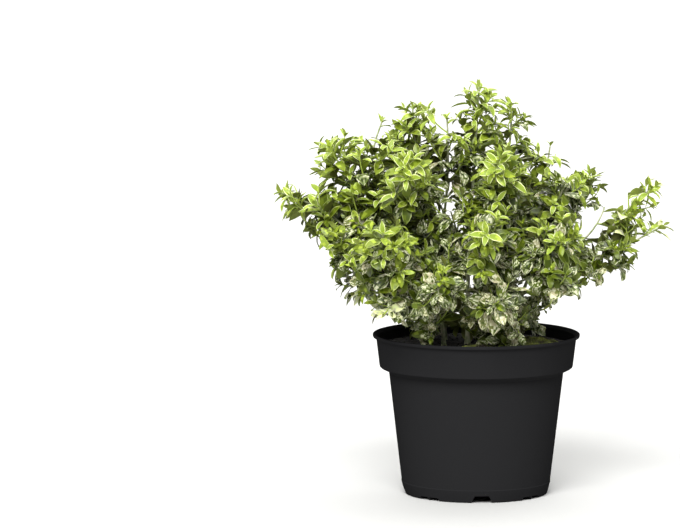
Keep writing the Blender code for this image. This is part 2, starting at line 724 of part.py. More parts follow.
def main():
    for obj in list(bpy.data.objects):
        bpy.data.objects.remove(obj)
    group = collection("potted_wintercreeper")
    cutters = collection("cutters", hidden=True)
    plastic = material("moulded_black_plastic", (0.016, 0.016, 0.017), 0.42)
    compost = material("compost", (0.020, 0.014, 0.010), 0.95)
    moss = material("moss", (0.085, 0.100, 0.015), 0.95)
    bark = material("green_bark", (0.180, 0.190, 0.085), 0.70)
    foliage = material("leaf", (0.170, 0.290, 0.040), 0.45)
    make_compost(group, compost)
    for name, (centre, radii) in MOSS_PATCHES.items():
        make_moss(name, centre, radii, group, moss)
    limbs = all_limbs()
    for name, limb in limbs.items():
        rod(name, limb.points, limb.radii, group, bark)
    axes, leaders = {}, {}
    for name, mass in MASSES.items():
        carrier = limbs[mass.carrier]
        line = grown_line(carrier, mass.share, mass.tip, LEADER_SEAT, AXIS_POINTS)
        axes[name] = line
        leaders[name] = shortened(line, LEADER_CUT, LEADER_POINTS)
    room = Room(limbs, axes)
    outline = three_sided()
    leaf_count = 0
    for name, leader in leaders.items():
        leaf_count += make_mass(name, leader, room, group, outline, foliage)
    bpy.data.objects.remove(outline)
    make_pot(group, cutters, plastic)
    print(f"{leaf_count} leaves")


main()
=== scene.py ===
"""Potted harlequin wintercreeper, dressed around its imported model.

Metres, +Z up, and the side that the photograph shows faces -Y. The limbs and the lines that
the foliage follows are the ones of the part's source. Twigs, shoots and leaves of real size grow
on from them by the same rule, carried finer, within the same reach.
"""

import json
import math
import random
from collections import namedtuple

import bmesh
import bpy
import numpy as np
from bpy.props import (
    FloatProperty, FloatVectorProperty, IntProperty, PointerProperty,
)
from mathutils import Matrix, Vector, noise

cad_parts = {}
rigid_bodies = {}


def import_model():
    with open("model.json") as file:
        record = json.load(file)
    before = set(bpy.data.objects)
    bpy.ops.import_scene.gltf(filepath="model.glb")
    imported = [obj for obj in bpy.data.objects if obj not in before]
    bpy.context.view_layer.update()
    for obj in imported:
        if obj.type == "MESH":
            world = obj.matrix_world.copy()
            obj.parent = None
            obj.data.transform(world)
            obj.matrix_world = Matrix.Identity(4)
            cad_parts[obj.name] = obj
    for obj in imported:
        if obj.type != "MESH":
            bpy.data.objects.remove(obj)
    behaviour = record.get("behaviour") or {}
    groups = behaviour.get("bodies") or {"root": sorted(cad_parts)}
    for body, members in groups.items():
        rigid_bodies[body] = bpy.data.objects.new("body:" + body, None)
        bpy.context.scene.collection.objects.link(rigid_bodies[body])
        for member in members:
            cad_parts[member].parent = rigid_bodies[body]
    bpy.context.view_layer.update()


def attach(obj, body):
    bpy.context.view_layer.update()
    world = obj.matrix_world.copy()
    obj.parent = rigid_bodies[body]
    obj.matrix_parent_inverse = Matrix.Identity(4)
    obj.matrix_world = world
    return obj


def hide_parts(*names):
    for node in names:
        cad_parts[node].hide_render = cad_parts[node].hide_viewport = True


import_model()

bl_info = {
    "name": "Potted wintercreeper",
    "version": (1, 0, 0),
    "blender": (4, 5, 0),
    "location": "3D View > Sidebar > Wintercreeper",
    "description": "Makes a variegated wintercreeper in its black nursery pot, piece by piece",
    "category": "Add Mesh",
}

UP = Vector((0.0, 0.0, 1.0))
MM = 0.001


def linear(code):
    """An sRGB hex value as linear red, green and blue."""
    parts = [int(code[i:i + 2], 16) / 255 for i in (1, 3, 5)]
    return tuple(p / 12.92 if p <= 0.04045 else ((p + 0.055) / 1.055) ** 2.4 for p in parts)


# The plant's own lines, in metres, as the part's source has them

Stem = namedtuple("Stem", "foot tip foot_radius tip_radius")
Bough = namedtuple("Bough", "carrier share tip foot_radius tip_radius")
Mass = namedtuple("Mass", "carrier share tip width")
Limb = namedtuple("Limb", "points radii")

STEMS = {
    "stem_left": Stem((-0.030, -0.008), (-0.072, -0.012, 0.222), 0.0024, 0.0015),
    "stem_centre": Stem((-0.008, 0.006), (-0.004, 0.004, 0.272), 0.0027, 0.0015),
    "stem_right": Stem((0.036, 0.008), (0.066, 0.002, 0.226), 0.0027, 0.0015),
    "stem_front": Stem((0.008, -0.028), (0.012, -0.058, 0.208), 0.0023, 0.0014),
    "stem_back_left": Stem((-0.028, 0.034), (-0.050, 0.060, 0.226), 0.0024, 0.0014),
    "stem_back_right": Stem((0.022, 0.040), (0.044, 0.058, 0.230), 0.0025, 0.0014),
}
BOUGHS = {
    "bough_left_low": Bough("stem_left", 0.36, (-0.088, -0.022, 0.186), 0.0015, 0.0011),
    "bough_left_reach": Bough("stem_left", 0.64, (-0.112, -0.008, 0.238), 0.0017, 0.0012),
    "bough_left_front": Bough("stem_left", 0.48, (-0.070, -0.060, 0.206), 0.0015, 0.0011),
    "bough_crest_left": Bough("stem_centre", 0.60, (-0.042, 0.012, 0.280), 0.0016, 0.0011),
    "bough_top_right": Bough("stem_centre", 0.70, (0.022, -0.010, 0.290), 0.0015, 0.0011),
    "bough_front_left": Bough("stem_front", 0.56, (-0.024, -0.076, 0.200), 0.0015, 0.0011),
    "bough_front_right": Bough("stem_front", 0.70, (0.050, -0.072, 0.208), 0.0015, 0.0011),
    "bough_right_reach": Bough("stem_right", 0.46, (0.112, 0.000, 0.216), 0.0018, 0.0012),
    "bough_right_back": Bough("stem_back_right", 0.50, (0.088, 0.072, 0.216), 0.0016, 0.0011),
    "bough_back_mid": Bough("stem_back_right", 0.36, (0.016, 0.096, 0.204), 0.0015, 0.0011),
    "bough_back_low": Bough("stem_back_left", 0.46, (-0.088, 0.070, 0.206), 0.0015, 0.0011),
}
MASSES = {
    "foliage_skirt_front": Mass("stem_front", 0.26, (0.034, -0.072, 0.174), 0.036),
    "foliage_skirt_front_left": Mass("stem_left", 0.20, (-0.046, -0.064, 0.164), 0.032),
    "foliage_skirt_left": Mass("stem_back_left", 0.20, (-0.080, 0.020, 0.174), 0.028),
    "foliage_skirt_right": Mass("stem_right", 0.24, (0.066, -0.026, 0.174), 0.028),
    "foliage_skirt_back": Mass("stem_back_right", 0.18, (0.008, 0.086, 0.168), 0.032),
    "foliage_low_left": Mass("bough_left_low", 1.0, (-0.122, -0.034, 0.206), 0.031),
    "foliage_low_left_front": Mass("bough_left_front", 0.70, (-0.082, -0.102, 0.190), 0.038),
    "foliage_low_front": Mass("bough_front_left", 1.0, (-0.036, -0.130, 0.196), 0.038),
    "foliage_low_front_mid": Mass("stem_front", 0.44, (0.020, -0.128, 0.196), 0.034),
    "foliage_low_front_right": Mass("bough_front_right", 1.0, (0.070, -0.112, 0.190), 0.038),
    "foliage_low_right": Mass("bough_right_reach", 0.50, (0.112, -0.046, 0.208), 0.032),
    "foliage_low_right_back": Mass("bough_right_back", 0.80, (0.112, 0.050, 0.210), 0.034),
    "foliage_low_back": Mass("bough_back_mid", 1.0, (0.038, 0.136, 0.196), 0.038),
    "foliage_low_back_left": Mass("stem_back_left", 0.60, (-0.046, 0.126, 0.196), 0.038),
    "foliage_left_reach": Mass("bough_left_reach", 1.0, (-0.186, -0.006, 0.279), 0.034),
    "foliage_left_front": Mass("bough_left_reach", 0.60, (-0.142, -0.074, 0.234), 0.038),
    "foliage_front_left": Mass("bough_left_front", 1.0, (-0.086, -0.134, 0.258), 0.040),
    "foliage_front_mid": Mass("stem_front", 1.0, (0.004, -0.152, 0.256), 0.040),
    "foliage_front_right": Mass("bough_front_right", 0.84, (0.090, -0.122, 0.252), 0.040),
    "foliage_right_out": Mass("bough_right_reach", 1.0, (0.176, -0.006, 0.250), 0.030),
    "foliage_right_up": Mass("bough_right_reach", 0.88, (0.170, 0.012, 0.286), 0.031),
    "foliage_back_right": Mass("bough_right_back", 1.0, (0.124, 0.104, 0.258), 0.040),
    "foliage_back_mid": Mass("bough_back_mid", 0.80, (0.026, 0.152, 0.262), 0.040),
    "foliage_back_left": Mass("stem_back_left", 0.90, (-0.086, 0.134, 0.264), 0.040),
    "foliage_left_back": Mass("bough_back_low", 1.0, (-0.150, 0.072, 0.266), 0.038),
    "foliage_high_left": Mass("bough_left_reach", 0.76, (-0.134, 0.004, 0.326), 0.046),
    "foliage_crest_far_left": Mass("stem_left", 1.0, (-0.084, -0.004, 0.350), 0.046),
    "foliage_high_front_left": Mass("stem_left", 0.86, (-0.060, -0.092, 0.322), 0.040),
    "foliage_high_front": Mass("stem_front", 0.84, (0.022, -0.104, 0.322), 0.040),
    "foliage_high_front_right": Mass("stem_right", 0.82, (0.082, -0.072, 0.304), 0.040),
    "foliage_high_right": Mass("stem_right", 1.0, (0.108, 0.002, 0.296), 0.036),
    "foliage_crest_right": Mass("stem_back_right", 1.0, (0.070, 0.056, 0.320), 0.040),
    "foliage_high_back": Mass("stem_back_right", 0.84, (0.002, 0.098, 0.324), 0.040),
    "foliage_high_back_left": Mass("stem_back_left", 1.0, (-0.078, 0.084, 0.326), 0.040),
    "foliage_centre_front": Mass("stem_centre", 0.46, (-0.026, -0.074, 0.270), 0.042),
    "foliage_centre_top": Mass("stem_centre", 1.0, (0.002, 0.000, 0.380), 0.032),
    "foliage_crest_left": Mass("bough_crest_left", 1.0, (-0.058, 0.022, 0.359), 0.036),
    "foliage_crest_mid": Mass("bough_crest_left", 0.60, (-0.028, -0.012, 0.352), 0.040),
    "foliage_top_right": Mass("bough_top_right", 1.0, (0.030, -0.014, 0.364), 0.031),
}

# Short leafy shoots low on the stems, in the dark under the masses
LOW_SHOOTS = {
    "low_shoot_left": Mass("stem_left", 0.10, (-0.056, -0.026, 0.163), 0.022),
    "low_shoot_back_left": Mass("stem_back_left", 0.12, (-0.034, 0.066, 0.168), 0.028),
    "low_shoot_centre": Mass("stem_centre", 0.10, (-0.014, 0.036, 0.170), 0.026),
    "low_shoot_front": Mass("stem_front", 0.10, (0.010, -0.056, 0.160), 0.022),
    "low_shoot_right": Mass("stem_right", 0.10, (0.052, -0.016, 0.163), 0.024),
    "low_shoot_back_right": Mass("stem_back_right", 0.12, (0.046, 0.058, 0.168), 0.026),
    "low_shoot_inner_left": Mass("stem_back_left", 0.34, (-0.016, 0.046, 0.194), 0.028),
    "low_shoot_inner_right": Mass("stem_back_right", 0.34, (0.034, 0.034, 0.190), 0.026),
    "low_shoot_right_tail": Mass("bough_right_reach", 0.90, (0.144, -0.014, 0.214), 0.022),
}
LEAFY = {**MASSES, **LOW_SHOOTS}
MOSS_PATCHES = {
    "moss_right": ((0.047, -0.022), (0.031, 0.023, 0.0080)),
    "moss_front": ((0.002, -0.052), (0.019, 0.013, 0.0055)),
}

# Sky that the photograph shows through the crown: x, z and radius of a passage along the line
# of sight, which drops by this slope
SIGHT_SLOPE = 0.11
SKY_GAPS = (
    (-0.024, 0.256, 0.003), (-0.026, 0.266, 0.004), (-0.019, 0.252, 0.003), (0.103, 0.245, 0.012),
    (0.114, 0.254, 0.009), (-0.098, 0.338, 0.008), (-0.112, 0.337, 0.006), (-0.030, 0.336, 0.006),
    (-0.018, 0.336, 0.005), (0.025, 0.343, 0.004), (0.043, 0.335, 0.005), (0.066, 0.317, 0.004),
    (-0.169, 0.292, 0.005), (-0.162, 0.286, 0.005), (-0.154, 0.283, 0.004), (-0.141, 0.221, 0.007),
    (0.074, 0.299, 0.005), (0.131, 0.270, 0.008), (0.122, 0.268, 0.006), (0.114, 0.276, 0.004),
    (0.104, 0.184, 0.011), (0.075, 0.177, 0.005), (0.062, 0.160, 0.006), (0.155, 0.227, 0.007),
)

# Where its outline turns in beside the crown, in the same way
OUTER_SKY = (
    (-0.181, 0.297, 0.008), (-0.193, 0.271, 0.007), (-0.176, 0.247, 0.006), (-0.143, 0.211, 0.008),
    (-0.084, 0.158, 0.006), (-0.147, 0.288, 0.004), (-0.089, 0.334, 0.005), (0.033, 0.367, 0.006),
    (0.048, 0.357, 0.006), (0.042, 0.362, 0.006), (0.079, 0.321, 0.007), (0.082, 0.296, 0.005),
    (0.138, 0.288, 0.010), (0.152, 0.293, 0.005), (0.163, 0.299, 0.007), (0.167, 0.257, 0.006),
    (0.164, 0.232, 0.006), (0.129, 0.201, 0.005), (0.085, 0.181, 0.006), (0.069, 0.168, 0.005),
)

# Where it shows stems and the dark under the leaves: x, seen z and radius, open to the front
OPEN_FRONT = (
    (-0.019, 0.243, 0.003), (-0.027, 0.154, 0.007), (-0.036, 0.160, 0.004), (-0.034, 0.149, 0.005),
    (0.048, 0.150, 0.005),
)

# The pot and the way that limbs grow, as the part's source has them
POT_TOP = 0.147
COMPOST_TOP = 0.1362
BAND_WALL_RADIUS = 0.0872
STEM_SINK = 0.001
UPRIGHT_SHARE = 0.62
BRANCH_ANGLE = math.radians(42.0)
BRANCH_PULL = 0.5
FLARE = 1.55
FLARE_SHARE = 0.10
AXIS_POINTS = 7

# The limbs that show are this share as thick as the solids, as the photographed ones are
BARE_SHARE = 0.78

# Middle and half size of the crown
HEART_HEIGHT = 0.20
CROWN_HEART = Vector((0.0, 0.0, HEART_HEIGHT))
CROWN_HALF = (0.175, 0.15, 0.165)


# Sizes and colours that a user would change


def length_property(name, description, default):
    """A length in metres."""
    return FloatProperty(name=name, description=description, default=default, min=0.0,
                         unit="LENGTH", precision=5)


def colour_property(name, description, code):
    """A colour from its sRGB hex value."""
    return FloatVectorProperty(name=name, description=description, default=linear(code),
                               min=0.0, max=1.0, subtype="COLOR")


class PotSizes(bpy.types.PropertyGroup):
    """The nursery pot and what fills it."""

    rim_radius: length_property("Rim radius", "Outer radius of the lip", 0.095)
    height: length_property("Height", "From the flat underside to the lip", POT_TOP)
    wall: length_property("Wall", "Thickness of the moulded wall", 0.0015)
    foot_radius: length_property("Foot radius", "Outer radius of the foot ring", 0.065)
    crumb_size: length_property("Crumb size", "Largest crumb of the compost", 0.0022)
    moss_blade: length_property("Moss blade", "Length of one leafy tip of the moss", 0.0026)


class CrownSizes(bpy.types.PropertyGroup):
    """The shoots and leaves."""

    seed: IntProperty(name="Seed", description="Changes where each shoot and leaf falls",
                      default=11, min=0)
    young_leaf: length_property("Young leaf", "Leaf of a shoot's tip rosette", 0.0172)
    old_leaf: length_property("Old leaf", "Marbled leaf of the year before", 0.0290)
    internode: length_property("Internode", "Spacing of the leaf pairs up a shoot", 0.0088)
    twig_radius: length_property("Twig radius", "Radius of a side shoot at its foot", 0.0008)


class Colours(bpy.types.PropertyGroup):
    """The finishes' main colours."""

    pot: colour_property("Pot", "Black polypropylene", "#1F1F20")
    compost: colour_property("Compost", "Damp peat", "#120C08")
    moss: colour_property("Moss", "Living moss", "#5A611D")
    bark: colour_property("Bark", "Green-grey bark of the stems", "#9CA37C")
    shoot: colour_property("Shoot", "Soft young shoot", "#9FB24A")


# Materials


def add_node(tree, kind, settings=None, values=None, links=None):
    """Adds a node, with its settings, its socket values and the sockets that feed it."""
    made = tree.nodes.new(kind)
    for key, value in (settings or {}).items():
        setattr(made, key, value)
    for key, value in (values or {}).items():
        made.inputs[key].default_value = value
    for key, source in (links or {}).items():
        tree.links.new(source, made.inputs[key])
    return made


def finish(name, colour, roughness, values=None):
    """A material with one Principled shader, and that shader."""
    made = bpy.data.materials.new(name)
    made.use_nodes = True
    shader = made.node_tree.nodes["Principled BSDF"]
    shader.inputs["Base Color"].default_value = (*colour, 1.0)
    shader.inputs["Roughness"].default_value = roughness
    for key, value in (values or {}).items():
        shader.inputs[key].default_value = value
    made.diffuse_color = (*colour, 1.0)
    return made, shader


def add_relief(material, shader, scale, detail, distance, strength=1.0):
    """A bump from noise of this scale per metre, raised by this distance."""
    tree = material.node_tree
    place = add_node(tree, "ShaderNodeTexCoord").outputs["Object"]
    grain = add_node(tree, "ShaderNodeTexNoise", values={"Scale": scale, "Detail": detail},
                     links={"Vector": place})
    bump = add_node(tree, "ShaderNodeBump", values={"Distance": distance, "Strength": strength},
                    links={"Height": grain.outputs["Fac"]})
    tree.links.new(bump.outputs["Normal"], shader.inputs["Normal"])
    return place, grain


def add_ramp(tree, source, stops):
    """A colour ramp with these stops of position and colour, fed by a socket."""
    ramp = add_node(tree, "ShaderNodeValToRGB", links={"Fac": source})
    knots = ramp.color_ramp.elements
    while len(knots) < len(stops):
        knots.new(0.5)
    for knot, (position, colour) in zip(knots, stops):
        knot.position = position
        knot.color = (*colour, 1.0)
    return ramp.outputs["Color"]


def blended(material, shader, place, scale, detail, stops):
    """Gives the base colour a ramp of these colours, dealt out by noise."""
    tree = material.node_tree
    patches = add_node(tree, "ShaderNodeTexNoise", values={"Scale": scale, "Detail": detail},
                       links={"Vector": place})
    tree.links.new(add_ramp(tree, patches.outputs["Fac"], stops), shader.inputs["Base Color"])


def moulded_polypropylene(colour):
    """Black polypropylene from an injection mould: dull all over from the mould's spark grain.

    The grain is drawn some nine times as coarse as the real one, so that it shows.
    """
    material, shader = finish("polypropylene_injection_moulded", colour, 0.48,
                              {"IOR": 1.49, "Specular IOR Level": 0.0})
    add_relief(material, shader, 1 / (0.9 * MM), 3.0, 0.04 * MM)
    return material


def damp_peat(colour):
    """Peat compost, milled and damp: dull, near black in its hollows, with brown fibre."""
    material, shader = finish("peat_compost_damp", colour, 0.92)
    place, _ = add_relief(material, shader, 1 / (2.2 * MM), 6.0, 0.8 * MM)
    dark = tuple(c * 0.3 for c in colour)
    light = tuple(min(c * 2.2, 1.0) for c in colour)
    blended(material, shader, place, 1 / (6 * MM), 5.0, ((0.35, dark), (0.55, colour), (0.75, light)))
    return material


def living_moss(colour):
    """Cushion moss, living: matte, yellow-green at its tips and brown where it is older."""
    material, shader = finish("moss_living", colour, 0.85, {"Sheen Weight": 0.2})
    place, _ = add_relief(material, shader, 1 / (1.2 * MM), 4.0, 0.5 * MM)
    brown = linear("#2A200C")
    light = linear("#9AA044")
    blended(material, shader, place, 1 / (9 * MM), 4.0, ((0.34, brown), (0.5, colour), (0.68, light)))
    return material


def green_bark(colour):
    """Green bark of a living stem: waxy and matte, with grey cork streaks and small warts."""
    material, shader = finish("bark_green_corky", colour, 0.62)
    place, _ = add_relief(material, shader, 1 / (1.1 * MM), 5.0, 0.25 * MM)
    grey = linear("#B3AF96")
    green = linear("#74824A")
    blended(material, shader, place, 1 / (5 * MM), 4.0, ((0.36, green), (0.5, colour), (0.66, grey)))
    return material


def soft_shoot(name, colour):
    """Skin of a soft shoot: smooth and slightly waxy."""
    return finish(name, colour, 0.45, {"Subsurface Weight": 0.1,
                                       "Subsurface Radius": (0.002, 0.003, 0.001)})[0]


# What each colour of a leaf is: its hex value and its roughness. Upper sides are waxed and
# fairly glossy, undersides are matte and paler.
LEAF_COLOURS = {
    # The young and fresh edges are the margins' own pale green, made paler still as painted highlight.
    "young_edge": ("#D3DB9E", 0.42),
    "young_blade": ("#97A837", 0.40),
    "young_heart": ("#7D9030", 0.40),
    "young_under": ("#93A04C", 0.60),
    "fresh_edge": ("#A3AD66", 0.40),
    "fresh_blade": ("#707F22", 0.38),
    "fresh_heart": ("#556410", 0.38),
    "fresh_under": ("#75803A", 0.60),
    # The deep colours, plain dark greens, go to leaves deep in and low in the crown: a real dark green
    # leaf, and painted shade as well.
    "deep_edge": ("#7B8849", 0.40),
    "deep_blade": ("#4F5C12", 0.38),
    "deep_heart": ("#3A4709", 0.38),
    "deep_under": ("#595F26", 0.60),
    "old_blade": ("#46531B", 0.36),
    "old_dark": ("#2A340C", 0.36),
    "old_grey": ("#7B8358", 0.38),
    "old_streak": ("#B9BB9A", 0.40),
    "old_under": ("#5E6332", 0.62),
    "cream_blade": ("#C0C1A0", 0.42),
    "cream_fleck": ("#686E3A", 0.40),
    "cream_blush": ("#A5A07E", 0.45),
    "white_blade": ("#D6DABC", 0.42),
}


def waxed_leaf(name):
    """A leaf's skin in one of its plain colours: cuticle wax over living tissue that glows a little."""
    code, roughness = LEAF_COLOURS[name]
    return finish(f"leaf_waxed_{name}", linear(code), roughness,
                  {"IOR": 1.45, "Specular IOR Level": 0.28, "Subsurface Weight": 0.08,
                   "Subsurface Radius": (0.001, 0.002, 0.0005)})[0]


# Mesh help


def mesh_of(bm, name):
    """A mesh from a bmesh, which is freed."""
    mesh = bpy.data.meshes.new(name)
    bm.to_mesh(mesh)
    bm.free()
    return mesh


def add_object(name, mesh, *materials):
    """An object in the scene with these materials in its slots."""
    made = bpy.data.objects.new(name, mesh)
    bpy.context.scene.collection.objects.link(made)
    for material in materials:
        mesh.materials.append(material)
    return made


def smooth(mesh, degrees=40.0):
    """Shades a mesh smooth apart from its sharp edges."""
    mesh.shade_smooth()
    mesh.set_sharp_from_angle(angle=math.radians(degrees))


def quad_mesh(name, corners, quads, slots):
    """A mesh of quads from arrays."""
    mesh = bpy.data.meshes.new(name)
    mesh.vertices.add(len(corners))
    mesh.vertices.foreach_set("co", np.ascontiguousarray(corners, dtype=np.float32).ravel())
    mesh.loops.add(len(quads) * 4)
    mesh.loops.foreach_set("vertex_index", np.ascontiguousarray(quads, dtype=np.int32).ravel())
    mesh.polygons.add(len(quads))
    mesh.polygons.foreach_set("loop_start", np.arange(len(quads), dtype=np.int32) * 4)
    mesh.polygons.foreach_set("material_index", np.ascontiguousarray(slots, dtype=np.int32))
    mesh.update(calc_edges=True)
    mesh.validate()
    return mesh


def between_rings(rings, steps):
    """Faces from each ring of corners to the next, and from the first ring to the corner inside it."""
    faces = []
    for ring in range(rings - 1):
        start = 1 + ring * steps
        for step in range(steps):
            n = (step + 1) % steps
            faces.append((start + step, start + steps + step, start + steps + n, start + n))
    return faces + [(0, 1 + step, 1 + (step + 1) % steps) for step in range(steps)]


def claim(piece, slot, *nodes):
    """Ties a piece to the object's one body and hides the nodes it stands for; slot, the finish it
    takes, is not used.
    """
    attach(piece, "root")
    if nodes:
        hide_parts(*nodes)


# Limbs, by the source's rule


def bent(start, towards, end, count):
    """Points on the quadratic curve from start to end that is drawn towards the middle point."""
    shares = [i / (count - 1) for i in range(count)]
    return [start.lerp(towards, t).lerp(towards.lerp(end, t), t) for t in shares]


def line_length(points):
    """The length of a line of points."""
    return sum((b - a).length for a, b in zip(points, points[1:]))


def along(points, share):
    """The point and the heading this share of the way along a line of points."""
    place = share * (len(points) - 1)
    index = min(int(place), len(points) - 2)
    span = points[index + 1] - points[index]
    return points[index] + span * (place - index), span.normalized()


def stem_limb(stem, count):
    """A stem's centre line and radii: upright from the compost, then leaning to its tip."""
    foot = Vector((*stem.foot, COMPOST_TOP - STEM_SINK))
    tip = Vector(stem.tip)
    rise = tip.z - foot.z
    points = bent(foot, foot + UP * rise * UPRIGHT_SHARE, tip, count)
    radii = []
    for i in range(count):
        share = i / (count - 1)
        spread = 1.0 + (FLARE - 1.0) * max(0.0, 1.0 - share / FLARE_SHARE) ** 2
        radii.append((stem.foot_radius + (stem.tip_radius - stem.foot_radius) * share) * spread)
    return Limb(points, radii)


def branch_line(carrier, share, tip, count):
    """The centre line of a branch from inside its carrier to its tip."""
    target = Vector(tip)
    place, heading = along(carrier.points, share)
    if share < 1.0:
        way = (target - place).normalized()
        side = (way - heading * way.dot(heading)).normalized()
        angle = max(way.angle(heading), BRANCH_ANGLE)
        heading = heading * math.cos(angle) + side * math.sin(angle)
    return bent(place, place + heading * (target - place).length * BRANCH_PULL, target, count)


def all_limbs(stem_points, bough_points):
    """Each stem and bough by name."""
    limbs = {name: stem_limb(stem, stem_points) for name, stem in STEMS.items()}
    for name, bough in BOUGHS.items():
        line = branch_line(limbs[bough.carrier], bough.share, bough.tip, bough_points)
        fall = (bough.tip_radius - bough.foot_radius) / (bough_points - 1)
        limbs[name] = Limb(line, [bough.foot_radius + fall * i for i in range(bough_points)])
    return limbs


# A direction that no limb or shoot follows, and how fast a tube's relief changes round and along it
STRAY_WAY = (0.13, 0.97, 0.21)
RELIEF_ROUND = 1.6
RELIEF_ALONG = 0.22


def tube(points, radii, sides, relief=0.0, seed=0.0):
    """Corners and quads of a closed tube along these points, with an uneven skin."""
    line = np.array([p[:] for p in points])
    ahead = np.gradient(line, axis=0)
    ahead /= np.linalg.norm(ahead, axis=1)[:, None]
    first = np.cross(ahead[0], STRAY_WAY)
    ring, corners = first / np.linalg.norm(first), []
    turns = np.arange(sides) * math.tau / sides
    for index, (place, heading, radius) in enumerate(zip(line, ahead, radii)):
        ring = ring - heading * ring.dot(heading)
        ring /= np.linalg.norm(ring)
        other = np.cross(heading, ring)
        reach = np.full(sides, float(radius))
        if relief:
            for k, turn in enumerate(turns):
                reach[k] += relief * noise.noise((
                    math.cos(turn) * RELIEF_ROUND + seed, math.sin(turn) * RELIEF_ROUND,
                    index * RELIEF_ALONG + seed))
        corners.append(place + reach[:, None] * (
            np.cos(turns)[:, None] * ring + np.sin(turns)[:, None] * other))
    count = len(line)
    corners = np.concatenate(corners + [line[:1], line[-1:]])
    quads = []
    for i in range(count - 1):
        for k in range(sides):
            n = (k + 1) % sides
            quads.append((i * sides + k, i * sides + n, (i + 1) * sides + n, (i + 1) * sides + k))
    foot, tip, last = count * sides, count * sides + 1, (count - 1) * sides
    for k in range(0, sides, 2):
        a, b, c = k, (k + 1) % sides, (k + 2) % sides
        quads.append((foot, c, b, a))
        quads.append((tip, last + a, last + b, last + c))
    return corners, np.array(quads)


def joined(parts):
    """Corners, quads and slots of many (corners, quads, slots) as one."""
    corners, quads, slots, start = [], [], [], 0
    for part_corners, part_quads, part_slots in parts:
        corners.append(part_corners)
        quads.append(part_quads + start)
        slots.append(part_slots)
        start += len(part_corners)
    return np.concatenate(corners), np.concatenate(quads), np.concatenate(slots)


# Room for the foliage


def pieces_of(lines):
    """Start, span and owner of every straight piece of these lines, as arrays."""
    starts, spans, owners = [], [], []
    for owner, points in enumerate(lines):
        for a, b in zip(points, points[1:]):
            starts.append(a[:])
            spans.append((b - a)[:])
            owners.append(owner)
    return np.array(starts), np.array(spans), np.array(owners)


def distances(places, starts, spans):
    """Distance from each place to each straight piece."""
    offset = places[:, None, :] - starts[None]
    share = (offset * spans).sum(2) / (spans * spans).sum(1)
    nearest = starts + np.clip(share, 0.0, 1.0)[..., None] * spans
    return np.linalg.norm(places[:, None, :] - nearest, axis=2)


class Room:
    """Tells whether a shoot or leaf keeps to its mass's reach, clear of pot, limbs and sky."""

    SPACE_TAPER = 0.35
    SPACE_REACH = 1.24
    LIMB_GAP = 0.0012
    CELL = 0.004

    def __init__(self, limbs, axes):
        self.limb_starts, self.limb_spans, owners = pieces_of([l.points for l in limbs.values()])
        widest = np.array([max(l.radii) for l in limbs.values()])
        self.limb_radii = widest[owners]
        self.starts, self.spans, owners = pieces_of(axes.values())
        count = AXIS_POINTS - 1
        taper = 1.0 - self.SPACE_TAPER * np.arange(count) / (count - 1)
        widths = np.array([LEAFY[name].width for name in axes])
        widths = widths[owners] * np.tile(taper, len(axes))
        self.own = {}
        for index, name in enumerate(axes):
            mine = owners == index
            self.own[name] = (self.starts[mine], self.spans[mine], widths[mine])
        self.taken = {}

    def keeps(self, spots, name):
        """True if all these places are in the reach of the named mass and touch nothing else."""
        starts, spans, widths = self.own[name]
        if (distances(spots, starts, spans) / widths).min(1).max() > self.SPACE_REACH:
            return False
        limb_gap = distances(spots, self.limb_starts, self.limb_spans) - self.limb_radii
        if limb_gap.min() < self.LIMB_GAP:
            return False
        return clear_of_pot(spots) and clear_of_sky(spots)

    def cell(self, spot):
        """The cell of the grid of taken places that holds this place."""
        return tuple(int(math.floor(v / self.CELL)) for v in spot)

    def crowded(self, spots, apart):
        """True if a leaf that is already placed comes nearer than this to one of these places."""
        for spot in spots:
            x, y, z = self.cell(spot)
            for i in (x - 1, x, x + 1):
                for j in (y - 1, y, y + 1):
                    for k in (z - 1, z, z + 1):
                        for other in self.taken.get((i, j, k), ()):
                            if math.dist(spot, other) < apart:
                                return True
        return False

    def take(self, spots):
        """Keeps these places for a leaf."""
        for spot in spots:
            self.taken.setdefault(self.cell(spot), []).append(tuple(spot))


# What a leaf or shoot keeps clear of the pot's wall, the compost and the lip
WALL_GAP = 0.001
COMPOST_GAP = 0.0015
LIP_GAP = 0.0012

# What stands in front of the stems: all that is nearer to the camera than this
FRONT_LIMIT = -0.012


def clear_of_pot(spots):
    """True if no place is in the compost, the moss or the pot's wall."""
    radius = np.hypot(spots[:, 0], spots[:, 1])
    height = spots[:, 2]
    inside = (radius < BAND_WALL_RADIUS - WALL_GAP) & (height > COMPOST_TOP + COMPOST_GAP)
    above = height > POT_TOP + LIP_GAP
    if not (inside | above).all():
        return False
    for centre, radii in MOSS_PATCHES.values():
        across = np.hypot((spots[:, 0] - centre[0]) / radii[0], (spots[:, 1] - centre[1]) / radii[1])
        if ((across < 1.0) & (height < COMPOST_TOP + radii[2])).any():
            return False
    return True


def clear_of(spots, circles):
    """True if no place is seen within one of these circles of x, seen height and radius."""
    seen = spots[:, 2] + spots[:, 1] * SIGHT_SLOPE
    return all(
        (np.hypot(spots[:, 0] - x, seen - z) > radius).all() for x, z, radius in circles)


def clear_of_sky(spots):
    """True if no place blocks a gap through which the photograph shows sky or stems."""
    front = spots[spots[:, 1] < FRONT_LIMIT]
    return clear_of(spots, SKY_GAPS + OUTER_SKY) and clear_of(front, OPEN_FRONT)


# Leaves

